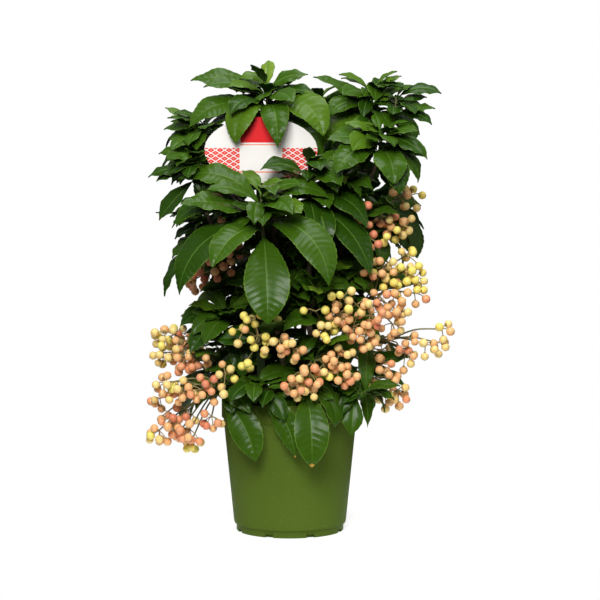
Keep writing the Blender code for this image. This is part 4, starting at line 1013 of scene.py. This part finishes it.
def add_shown_leaves(room, masses, kind, low):
    """The leaves that show from the front on the masses of one kind, from a share of the twig upward."""
    for name in kind:
        leaves = SHOWN_LEAVES.get(name, ())
        for k, leaf in enumerate(leaves):
            add_leaf(room, masses, name, low + (0.95 - low) * k / len(leaves), *leaf)


add_shown_leaves(room, masses, CROWNS, 0.15)
add_shown_leaves(room, masses, SPRAYS, 0.7)
for number, (name, (_, _, _, count, _)) in enumerate(sprays.items()):
    dice = random.Random(501 + number)
    twig = masses[name]["twigs"][0][0]
    outward = math.degrees(math.atan2(twig[-1][1] - twig[0][1], twig[-1][0] - twig[0][0]))
    for k in range(count):
        size = dice.uniform(0.8, 1.1)
        add_leaf(room, masses, name, 0.95 - 0.4 * ((k * 0.618) % 1),
                 outward + 180 - GOLDEN_ANGLE * k + dice.uniform(-10, 10), dice.uniform(25, 60), dice.uniform(-50, 0),
                 SPRAY_LEAF * size, SPRAY_LEAF_WIDTH * size, dice.uniform(-15, 15), dice.uniform(-14, 14))

# The fruit hangs in umbels on thin stalks: firm round berries with a small dark tip, each on its own pedicel under a
# green cap. They ripen from pale yellow through peach to coral, most of an umbel together.
STALK_RADII = (0.95, 0.7)
PEDICEL_RADIUS = 0.5
BERRY_RADIUS = 4.1
PEDICEL = 10.5
UMBEL_LIFT = 9.0
STALK_SHIFTS = ((0, 0, 0), (0, 0, 5), (0, 0, -5), (4, -4, 0), (-4, -4, 0), (4, 4, 3), (-4, 4, 3), (0, -8, 4),
                (0, 8, -4), (8, 0, 6), (-8, 0, 6), (0, 0, 11), (0, 0, -11))


def add_umbel(room, name, mass, root, target, count, dice):
    """A stalk from the twig almost to the target, with berries on pedicels in a cap about the target."""
    twig = mass["twigs"][0][0]
    end = target - 0.55 * PEDICEL * unit(target - twig[-1]) + vec(0, 0, UMBEL_LIFT)
    bow = vec(0, 0, 0.1 * float(np.linalg.norm(end - root)))
    for shift in STALK_SHIFTS:
        stalk = arch(root, end + vec(*shift), bow, 3)
        space = thick(along(stalk)[3:], 1.2)
        if not room.met(space, name) and LEAF not in room.own_kinds(space, name):
            break
    else:
        return
    room.claim(along(stalk), name, BERRY)
    mass["stalks"].append(stalk)
    tip = stalk[-1]
    heading = unit(unit(tip - stalk[-2]) + 0.8 * unit(tip - twig[-1]) + vec(0, 0, -0.15))
    side = unit(np.cross(heading, vec(0.1, 0, 1)))
    over = np.cross(side, heading)
    berries = []
    for k in range(count):
        open_by = 1 - (k + 0.5) / count * 1.3
        ring = math.sqrt(max(0.0, 1 - open_by * open_by))
        spin = math.radians(GOLDEN_ANGLE * k + dice.uniform(-25, 25))
        around = side * math.cos(spin) + over * math.sin(spin)
        way = unit(heading * open_by + around * ring + vec(0, 0, -0.3))
        length = PEDICEL * dice.uniform(0.8, 1.2)
        radius = BERRY_RADIUS * dice.uniform(0.9, 1.07)
        for stretch in (1.0, 1.3, 0.75, 1.6):
            centre = tip + way * length * stretch + vec(0, 0, -1.5)
            space = thick(centre[None], radius)
            if room.met(space, name) or LEAF in room.own_kinds(space, name):
                continue
            others = [(b["centre"], 0.97 * (radius + b["radius"])) for b in mass["berries"]]
            if all(np.linalg.norm(centre - place) > reach for place, reach in others):
                pedicel = np.array([tip, tip + way * length * stretch * 0.55 + vec(0, 0, 0.8), centre])
                berries.append(dict(stalk=pedicel, centre=centre, radius=radius, place=k))
                mass["berries"].append(berries[-1])
                break
    for berry in berries:
        room.claim(along(berry["stalk"]), name, BERRY)
        room.claim(thick(berry["centre"][None], berry["radius"]), name, BERRY)

RIPENESS = {
    "fruit_left_top": (2, 0, 2, 6, 4, 1), "fruit_left_middle": (6, 5, 3, 6, 5, 3),
    "fruit_left_low": (5, 4, 6, 6, 0, 6, 6, 7, 6), "fruit_front_left": (0, 1, 0, 0, 2, 0, 5, 3),
    "fruit_front_right": (6, 6, 5, 5, 6, 6, 4), "fruit_right_front": (4, 6, 0, 6, 6, 0, 4, 6, 0, 0),
    "fruit_right_middle": (1, 0, 3, 1, 6, 5, 7, 5, 4, 6, 1, 6), "fruit_right_high": (10, 9, 9, 8),
    "fruit_right_top": (8, 6, 3, 2, 0, 2), "fruit_right_reach": (3, 2, 2, 6, 4, 5, 6),
    "fruit_right_low": (6, 5, 3, 6, 0), "fruit_left_inner": (7, 9, 9, 8, 9),
}
BACK_RIPENESS = (5, 4, 6, 8, 6)
BERRY_TONES = {
    "yellow": (0.89, 0.8, 0.18), "pale_peach": (0.9, 0.7, 0.26), "peach": (0.88, 0.51, 0.22),
    "coral": (0.82, 0.37, 0.18), "deep_coral": (0.74, 0.26, 0.14),
}
TIP_BROWN, CAP_GREEN, STALK_GREEN = (0.1, 0.04, 0.015), (0.2, 0.22, 0.06), (0.2, 0.2, 0.06)

for number, (name, (_, _, _, _, umbels)) in enumerate(sprays.items()):
    dice = random.Random(101 + number)
    for k, (x, y, z, count) in enumerate(umbels):
        root = on_twig(masses[name]["twigs"][0][0], 0.96 - 0.5 * k / len(umbels))
        before = len(masses[name]["berries"])
        add_umbel(room, name, masses[name], root, vec(x, y, z), count, dice)
        for berry in masses[name]["berries"][before:]:
            berry["ripeness"] = RIPENESS.get(name, BACK_RIPENESS)[k]
berries = [berry for mass in masses.values() for berry in mass["berries"]]
stalk_lines = [(smooth_line(line), STALK_RADII) for mass in masses.values() for line in mass["stalks"]]
stalk_skin, board, sockets = new_finish("stalk skin", STALK_GREEN, 0.5)
feed(board, board.mix(board.noise(90, 2), STALK_GREEN, (0.16, 0.13, 0.05)), sockets["Base Color"])
stalks = run_tubes("fruit_stalks", stalk_lines, stalk_skin, 7)
pedicel_skin, board, sockets = new_finish("pedicel skin", (0.3, 0.26, 0.09), 0.5)
feed(board, board.mix(board.noise(150, 2), (0.28, 0.28, 0.08), (0.36, 0.2, 0.09)), sockets["Base Color"])
pedicels = run_tubes("pedicels", [(smooth_line(b["stalk"], 3), (PEDICEL_RADIUS, PEDICEL_RADIUS * 0.9)) for b in berries],
                     pedicel_skin, 5)
for piece in (stalks, pedicels):
    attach(piece, "root")


def new_shape(name, profile, turns):
    """A small turned shape, one metre to the unit, to be set on points."""
    points, faces = turned([(1000 * r, 1000 * z) for r, z in profile], turns)
    shape = new_piece(name, points, faces, [])
    point_outward(shape.data)
    return shape


round_profile = [(max(0.0, round(math.sin(t), 6)), -math.cos(t) * (0.97 if t > 1.6 else 0.93))
                 for t in np.linspace(0, math.pi, 9)]
berry_shape = new_shape("berry_shape", round_profile, 12)
tip_shape = new_shape("tip_shape", [(0, 1.1), (0.03, 1.07), (0.065, 0.97), (0, 0.95)], 6)
cap_shape = new_shape("cap_shape", [(0, -1.0), (0.3, -0.99), (0.42, -0.9), (0.24, -0.86), (0, -0.86)], 8)
dice = random.Random(77)
tones = list(BERRY_TONES)
for berry in berries:
    stage = berry["ripeness"] / 10 * (len(tones) - 1) + dice.gauss(0, 0.7)
    berry["tone"] = tones[min(len(tones) - 1, max(0, round(stage)))]
    berry["way"] = unit(berry["stalk"][-1] - berry["stalk"][-2])
berry_pieces = []
for tone, colour in BERRY_TONES.items():
    some = [b for b in berries if b["tone"] == tone]
    if not some:
        continue
    skin, board, sockets = new_finish("berry " + tone.replace("_", " "), colour, 0.3, Subsurface_Weight=0.12,
                                      Subsurface_Radius=(0.004, 0.002, 0.001), Specular_IOR_Level=0.35)
    blush = board.noise(170, 2)
    flush = tuple(min(0.95, c * k) for c, k in zip(colour, (1.0, 0.72, 0.6)))
    bright = tuple(min(0.95, c * k) for c, k in zip(colour, (1.05, 1.22, 1.3)))
    feed(board, board.mix(blush, bright, flush), sockets["Base Color"])
    feed(board, 0.24 + board.noise(300, 2) * 0.14, sockets["Roughness"])
    berry_pieces.append(run_tree("berries_" + tone, on_points, [b["centre"] for b in some], [],
                                 dict(way=[b["way"] for b in some], size=[b["radius"] * MM for b in some]),
                                 dict(Shape=berry_shape, Material=skin)))
tip_skin, board, sockets = new_finish("berry tip", TIP_BROWN, 0.6)
feed(board, board.mix(board.noise(500, 2), TIP_BROWN, (0.12, 0.05, 0.02)), sockets["Base Color"])
cap_skin, board, sockets = new_finish("berry cap", CAP_GREEN, 0.6)
feed(board, board.mix(board.noise(500, 2), CAP_GREEN, (0.3, 0.2, 0.07)), sockets["Base Color"])
for name, shape, skin in (("berry_tips", tip_shape, tip_skin), ("berry_caps", cap_shape, cap_skin)):
    berry_pieces.append(run_tree(name, on_points, [b["centre"] for b in berries], [],
                                 dict(way=[b["way"] for b in berries], size=[b["radius"] * MM for b in berries]),
                                 dict(Shape=shape, Material=skin)))
for piece in berry_pieces:
    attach(piece, "root")
for shape in (berry_shape, tip_shape, cap_shape):
    bpy.data.objects.remove(shape)

# Whorls of leaves end every shoot, the low ones large and drooping and the top ones small and upright, and skirts of
# leaves hang over the rim. Small leaves fill in behind them wherever there is room.
TOP_LEAF_SHARE = 0.45
TOP_LEAF_RISE, TOP_LEAF_FALL = 66, 6


def add_whorl(room, masses, name, first_share, count, first, length, width, rise, fall, dice):
    """Leaves in a spiral up a twig's end: the low ones large and drooping, the top ones small and upright."""
    for k in range(count):
        age = k / (count - 1)
        size = (1 + (TOP_LEAF_SHARE - 1) * age) * dice.uniform(0.92, 1.08)
        add_leaf(room, masses, name, first_share + (0.98 - first_share) * age,
                 first + GOLDEN_ANGLE * k + dice.uniform(-9, 9),
                 rise + (TOP_LEAF_RISE - rise) * age ** 1.4 + dice.uniform(-8, 8),
                 fall + (TOP_LEAF_FALL - fall) * age ** 1.4 + dice.uniform(-8, 8),
                 length * size, width * size, dice.uniform(-18, 18), dice.uniform(-14, 14))

INNER_LEAVES, INNER_LENGTHS, BACK_INNER = (20, 38), (28, 56), 1.15
INNER_AIMED = (
    ("crown_inner_middle", 0.9, 180, 45, 0, 56, 60), ("crown_inner_middle", 0.9, 160, 5, -40, 50, 60),
    ("crown_inner_middle", 0.9, -90, 10, -80, 44, 0), ("crown_inner_left", 0.9, 180, 20, -30, 52, 60),
    ("crown_inner_left", 0.75, 180, 0, -30, 44, 60), ("fruit_back_left", 0.9, -80, 20, -80, 50, 0),
    ("fruit_back_left", 0.9, 10, 30, -30, 50, 50), ("fruit_back_left", 0.85, -100, 40, -60, 44, 0),
    ("crown_back_low", 0.9, 190, 20, -50, 56, 50), ("crown_back_low", 0.25, 0, 20, -20, 44, 60),
    ("crown_back_low", 0.3, 20, 40, -30, 40, -60), ("crown_middle_left", 0.9, -60, 30, -70, 50, 0),
    ("fruit_back_left_high", 0.9, -60, 0, -80, 44, 0), ("fruit_back_right", 1.0, -90, 20, -80, 44, 0),
    ("fruit_right_low", 0.95, 0, 50, -10, 36, 60), ("crown_back_right", 0.95, -90, 80, 20, 52, 0),
)

add_shown_leaves(room, masses, SIDE_CROWNS, 0.6)
add_shown_leaves(room, masses, SKIRTS, 0.8)
for number, (name, (_, _, count, *whorl)) in enumerate(CROWNS.items()):
    count -= len(SHOWN_LEAVES.get(name, ()))
    add_whorl(room, masses, name, 0.1, count, *whorl, random.Random(301 + number))
for number, (name, (_, _, _, _, _, count, *whorl)) in enumerate(SIDE_CROWNS.items()):
    count -= len(SHOWN_LEAVES.get(name, ()))
    add_whorl(room, masses, name, 0.62, count, *whorl, random.Random(351 + number))
for number, (name, (count, azimuth, fan, length, width)) in enumerate(SKIRT_FANS.items()):
    dice = random.Random(401 + number)
    for k in range(count):
        size = dice.uniform(0.88, 1.06)
        add_leaf(room, masses, name, 0.98 - 0.25 * ((k * 0.618) % 1),
                 azimuth + fan * ((k + 0.5) / count - 0.5) + dice.uniform(-6, 6),
                 SKIRT_RISE + dice.uniform(-8, 16), SKIRT_FALL + dice.uniform(-3, 8),
                 length * size, width * size, dice.uniform(-10, 10), dice.uniform(-12, 12))
for name, share, azimuth, rise, fall, length, roll in INNER_AIMED:
    add_leaf(room, masses, name, share, azimuth, rise, fall, length, length * 0.42, 0, roll)
for number, name in enumerate(masses):
    dice = random.Random(701 + number)
    for k in range(INNER_LEAVES[name in SIDE_CROWNS]):
        size = dice.uniform(*INNER_LENGTHS) * (BACK_INNER if "back" in name else 1)
        add_leaf(room, masses, name, dice.uniform(0.45, 0.98), dice.uniform(0, 360), dice.uniform(0, 60),
                 dice.uniform(-80, 0), size, size * 0.4, dice.uniform(-15, 15), dice.uniform(-14, 14))

# A leaf blade is leathery and glossy, dark green above with a paler rib and a thin bright edge, and dull below. The
# edge's green is partly the margin's own paler colour and partly painted glow of light shining through the thin edge.
# Its edge is scalloped and it is puckered between the side veins, which run from the rib to the notches.
LEAF_TONES = {
    "deep": (0.015, 0.045, 0.002), "dark": (0.027, 0.069, 0.003), "fresh": (0.049, 0.104, 0.005),
    "young": (0.1, 0.165, 0.012),
}
# The edge green is partly the margin's own paler colour and partly painted glow of light shining through the thin
# edge.
RIB_GREEN, MARGIN_AND_GLOW_GREEN, UNDER_GREEN = (0.045, 0.105, 0.012), (0.09, 0.18, 0.016), (0.04, 0.085, 0.012)
TIP_YELLOW, TIP_SHARE, TIP_TOP = (0.42, 0.33, 0.045), 0.945, 160
SCALLOP, SCALLOP_DEPTH, PUCKER = 5.8, 0.62, 0.95
GLOSS = 0.135
PETIOLE, PETIOLE_HALF = 6.5, 0.8
BLADE_THICKNESS = 0.45
ACROSS = (-1.0, -0.955, -0.62, -0.28, 0.28, 0.62, 0.955, 1.0)


def blade_half_width(v, widest, blunt):
    """A blade's half width at a share of its length: widest near the middle, drawn out or blunt at the tip."""
    foot = np.sin(np.clip(v / widest, 0, 1) * math.pi / 2) ** 0.85
    tip = np.cos(np.clip((v - widest) / (1 - widest), 0, 1) * math.pi / 2) ** blunt
    return np.where(v < widest, foot, tip)


def blade_mesh(blade, dice):
    """A leaf as a thin closed skin: points, quads and their slots (0 upper, 1 rib, 2 edge with painted glow, 3 under,
    4 tip).
    """
    length, half = blade["length"], blade["width"] / 2
    petiole = min(0.16, PETIOLE / length)
    scallops = max(4, round(length * (1 - petiole) / SCALLOP))
    steps = scallops * (3 if length > INNER_LENGTHS[1] else 2)
    rows = np.concatenate([[0.0, petiole * 0.5], petiole + (1 - petiole) * np.arange(steps + 1) / steps])
    share = np.clip((rows - petiole) / (1 - petiole), 0, 1)
    phase = np.abs(np.sin(np.pi * scallops * share))
    hanging = length > 60 and blade["fall"] < -60
    breadth = half * blade_half_width(share, dice.uniform(0.38, 0.48), dice.uniform(0.9, 1.2) if hanging
                                      else dice.uniform(1.1, 1.5))
    edge = SCALLOP_DEPTH * min(1, half / 14) * (phase - 0.7) * np.minimum(1, breadth / 3)
    rib = max(0.04, 0.62 / half)
    columns = [*ACROSS[:4], -rib, rib, *ACROSS[4:]]
    line, side, up = leaf_frames(blade)
    at = np.linspace(0, 1, len(line))
    fold, curl = dice.uniform(0.05, 0.24), dice.uniform(0.04, 0.22)
    wave, beat, start = dice.uniform(0.5, 1.5), dice.uniform(2.2, 3.6), dice.uniform(0, 6.3)
    pucker = PUCKER * dice.uniform(0.75, 1.25) * min(1, half / 13)

    def row_points(s, below):
        part = abs(s)
        forward = np.clip(rows + 0.42 * (blade["width"] / length) * share * (1 - share) * 2.4 * part ** 1.3 * (1 - petiole), 0, 1)
        out = np.maximum(breadth, PETIOLE_HALF * (1 - np.clip(share * 6, 0, 1))) * s
        out += np.sign(s) * edge * part ** 4
        lift = fold * part * breadth - curl * part ** 2.2 * breadth
        lift += pucker * phase * math.sin(math.pi * min(1, part ** 0.85)) * np.minimum(1, breadth / 6)
        lift += wave * part ** 3 * np.sin(2 * math.pi * beat * share + start + (2 if s > 0 else 0)) * np.minimum(1, breadth / 8)
        lift -= 0.35 * max(0, 1 - part / 0.16) * np.minimum(1, breadth / 4)
        if below:
            lift -= BLADE_THICKNESS + 0.7 * max(0, 1 - part / 0.1)
        middle, across, upward = (np.stack([np.interp(forward, at, v[:, i]) for i in range(3)], 1) for v in (line, side, up))
        return middle + across * out[:, None] + upward * lift[:, None]

    withered = length > 44 and line[-1][2] < TIP_TOP and dice.random() < 0.8
    above = [row_points(s, False) for s in columns]
    under = [row_points(s, True) for s in (-0.62, 0.0, 0.62)]
    count = len(rows)
    points = np.vstack(above + under)
    faces, slots = [], []
    low = [0, len(columns), len(columns) + 1, len(columns) + 2, len(columns) - 1]
    for i in range(count - 1):
        for j in range(len(columns) - 1):
            a, b = j * count + i, (j + 1) * count + i
            faces.append((a, b, b + 1, a + 1))
            slots.append(4 if withered and share[i] > TIP_SHARE else 1 if j == 4 else
                         2 if j in (0, len(columns) - 2) else 0)
        for j, k in zip(low, low[1:]):
            a, b = j * count + i, k * count + i
            faces.append((a, a + 1, b + 1, b))
            slots.append(3)
    for i in (0, count - 1):
        ring = [j * count + i for j in range(len(columns))] + [low[3] * count + i, low[2] * count + i, low[1] * count + i]
        faces.append(tuple(ring[::-1] if i == 0 else ring))
        slots.append(3)
    return points, faces, slots


def leaf_finish(name, colour, roughness, pale):
    """Leaf skin: its green varies a little in soft clouds, with fine pores in its gloss."""
    skin, board, sockets = new_finish(name, colour, roughness, Specular_IOR_Level=GLOSS)
    feed(board, board.mix(board.noise(70, 3), colour, pale), sockets["Base Color"])
    feed(board, roughness - 0.07 + board.noise(120, 1) * 0.1, sockets["Roughness"])
    bump(board, sockets, board.noise(200, 1), 0.08, 0.0005)
    return skin


uppers = {tone: leaf_finish("leaf " + tone, colour, 0.3, tuple(1.35 * c for c in colour))
          for tone, colour in LEAF_TONES.items()}
rib_skin = leaf_finish("leaf rib", RIB_GREEN, 0.4, (0.08, 0.165, 0.022))
# The edge skin: the margin's paler green brightened by painted glow of light through the thin edge.
margin_and_glow_skin = leaf_finish("leaf edge and painted glow", MARGIN_AND_GLOW_GREEN, 0.4, (0.15, 0.27, 0.035))
under_skin = leaf_finish("leaf underside", UNDER_GREEN, 0.55, (0.06, 0.13, 0.025))
tip_skin = leaf_finish("withered leaf tip", TIP_YELLOW, 0.5, (0.36, 0.15, 0.03))
materials = [*uppers.values(), rib_skin, margin_and_glow_skin, under_skin, tip_skin]
dice = random.Random(2024)
for name, mass in masses.items():
    points, faces, slots = [], [], []
    total = 0
    spray_shift = dice.uniform(-0.4, 0.4)
    for number, blade in enumerate(mass["leaves"]):
        tone = 0.62 + spray_shift + dice.gauss(0, 0.55)
        tone += 1.2 * max(0, (blade["rise"] - 35) / 40) if blade["length"] < 60 else 0
        tone = min(3, max(0, round(tone)))
        some_points, some_faces, some_slots = blade_mesh(blade, dice)
        points.append(some_points)
        faces += [tuple(total + i for i in face) for face in some_faces]
        slots += [tone if slot == 0 else slot + 3 for slot in some_slots]
        total += len(some_points)
    leaves = new_piece("leaves_" + name, np.vstack(points), faces, materials, True, slots)
    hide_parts(name)
    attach(leaves, "root")

# The floor is a plain pale round sheet that fades out into a white backdrop. The light is soft, from above, left and
# right, and the sides are kept dim, so that gloss stays crisp. The camera stands two metres off.
FLOOR_RADIUS, FLOOR_SOLID, FLOOR_GLOW = 360.0, 90.0, 0.62
SKY_SEEN, SKY_LOW, SKY_HIGH = 1.0, 0.05, 0.42
floor = new_piece("floor", *turned([(0, -0.2), (FLOOR_RADIUS, -0.2), (FLOOR_RADIUS, -0.4), (0, -0.4)], 96), [], False)
point_outward(floor.data)
paper, board, sockets = new_finish("pale floor", (0.55, 0.55, 0.55), 0.9, Emission_Color=(1, 1, 1, 1),
                                   Emission_Strength=FLOOR_GLOW, Specular_IOR_Level=0.0)
away = board.node("ShaderNodeVectorMath", dict(operation="LENGTH"),
                  (board.node("ShaderNodeTexCoord", output="Object"),), "Value")
fade = board.node("ShaderNodeMapRange", dict(interpolation_type="SMOOTHSTEP"),
                  {"Value": away, "From Min": FLOOR_SOLID * MM, "From Max": 0.95 * FLOOR_RADIUS * MM,
                   "To Min": 1.0, "To Max": 0.0})
feed(board, fade, sockets["Alpha"])
floor.data.materials.append(paper)
scene = bpy.context.scene
scene.view_settings.view_transform = "Standard"
scene.view_settings.look = "None"
world = bpy.data.worlds.new("studio")
world.use_nodes = True
sky = Board(world.node_tree)
seen = sky.node("ShaderNodeLightPath")
way = sky.node("ShaderNodeSeparateXYZ", None, (sky.node("ShaderNodeTexCoord", output="Generated"),))
overhead = sky.math("MAXIMUM", way.also("Z"), 0.0)
backdrop = world.node_tree.nodes["Background"]
backdrop.inputs["Color"].default_value = (1, 1, 1, 1)
strength = seen * SKY_SEEN + (1 - seen) * (SKY_LOW + overhead * SKY_HIGH)
sky.tree.links.new(strength.socket, backdrop.inputs["Strength"])
scene.world = world


def add_lamp(name, place, target, size, power):
    lamp = bpy.data.lights.new(name, "AREA")
    lamp.size = size
    lamp.energy = power
    holder = bpy.data.objects.new(name, lamp)
    holder.location = place
    way = np.array(target, float) - np.array(place, float)
    pitch = math.atan2(math.hypot(way[0], way[1]), -way[2])
    holder.rotation_euler = (pitch, 0, math.atan2(way[1], way[0]) - math.pi / 2)
    scene.collection.objects.link(holder)


PLANT_MIDDLE = (0, 0, 0.26)
add_lamp("front softbox", (-0.22, -1.7, 1.3), PLANT_MIDDLE, 0.8, 42)
add_lamp("right softbox", (1.3, -0.9, 0.9), PLANT_MIDDLE, 0.5, 3.5)
add_lamp("top softbox", (0.1, -0.1, 1.6), PLANT_MIDDLE, 0.8, 12)
add_lamp("back softbox", (0.6, 1.6, 1.1), PLANT_MIDDLE, 0.8, 16)
bpy.data.objects["back softbox"].visible_glossy = False

EYE, LOOK_AT, FRAME_WIDTH = (0.0096, -2.0, 0.37), (0.0096, 0.0, 0.221), 0.5736
camera = bpy.data.cameras.new("camera")
camera.lens = 36 * math.hypot(EYE[1] - LOOK_AT[1], EYE[2] - LOOK_AT[2]) / FRAME_WIDTH
camera_object = bpy.data.objects.new("camera", camera)
camera_object.location = EYE
camera_object.rotation_euler = (math.pi / 2 - math.atan2(EYE[2] - LOOK_AT[2], LOOK_AT[1] - EYE[1]), 0, 0)
scene.collection.objects.link(camera_object)
scene.camera = camera_object
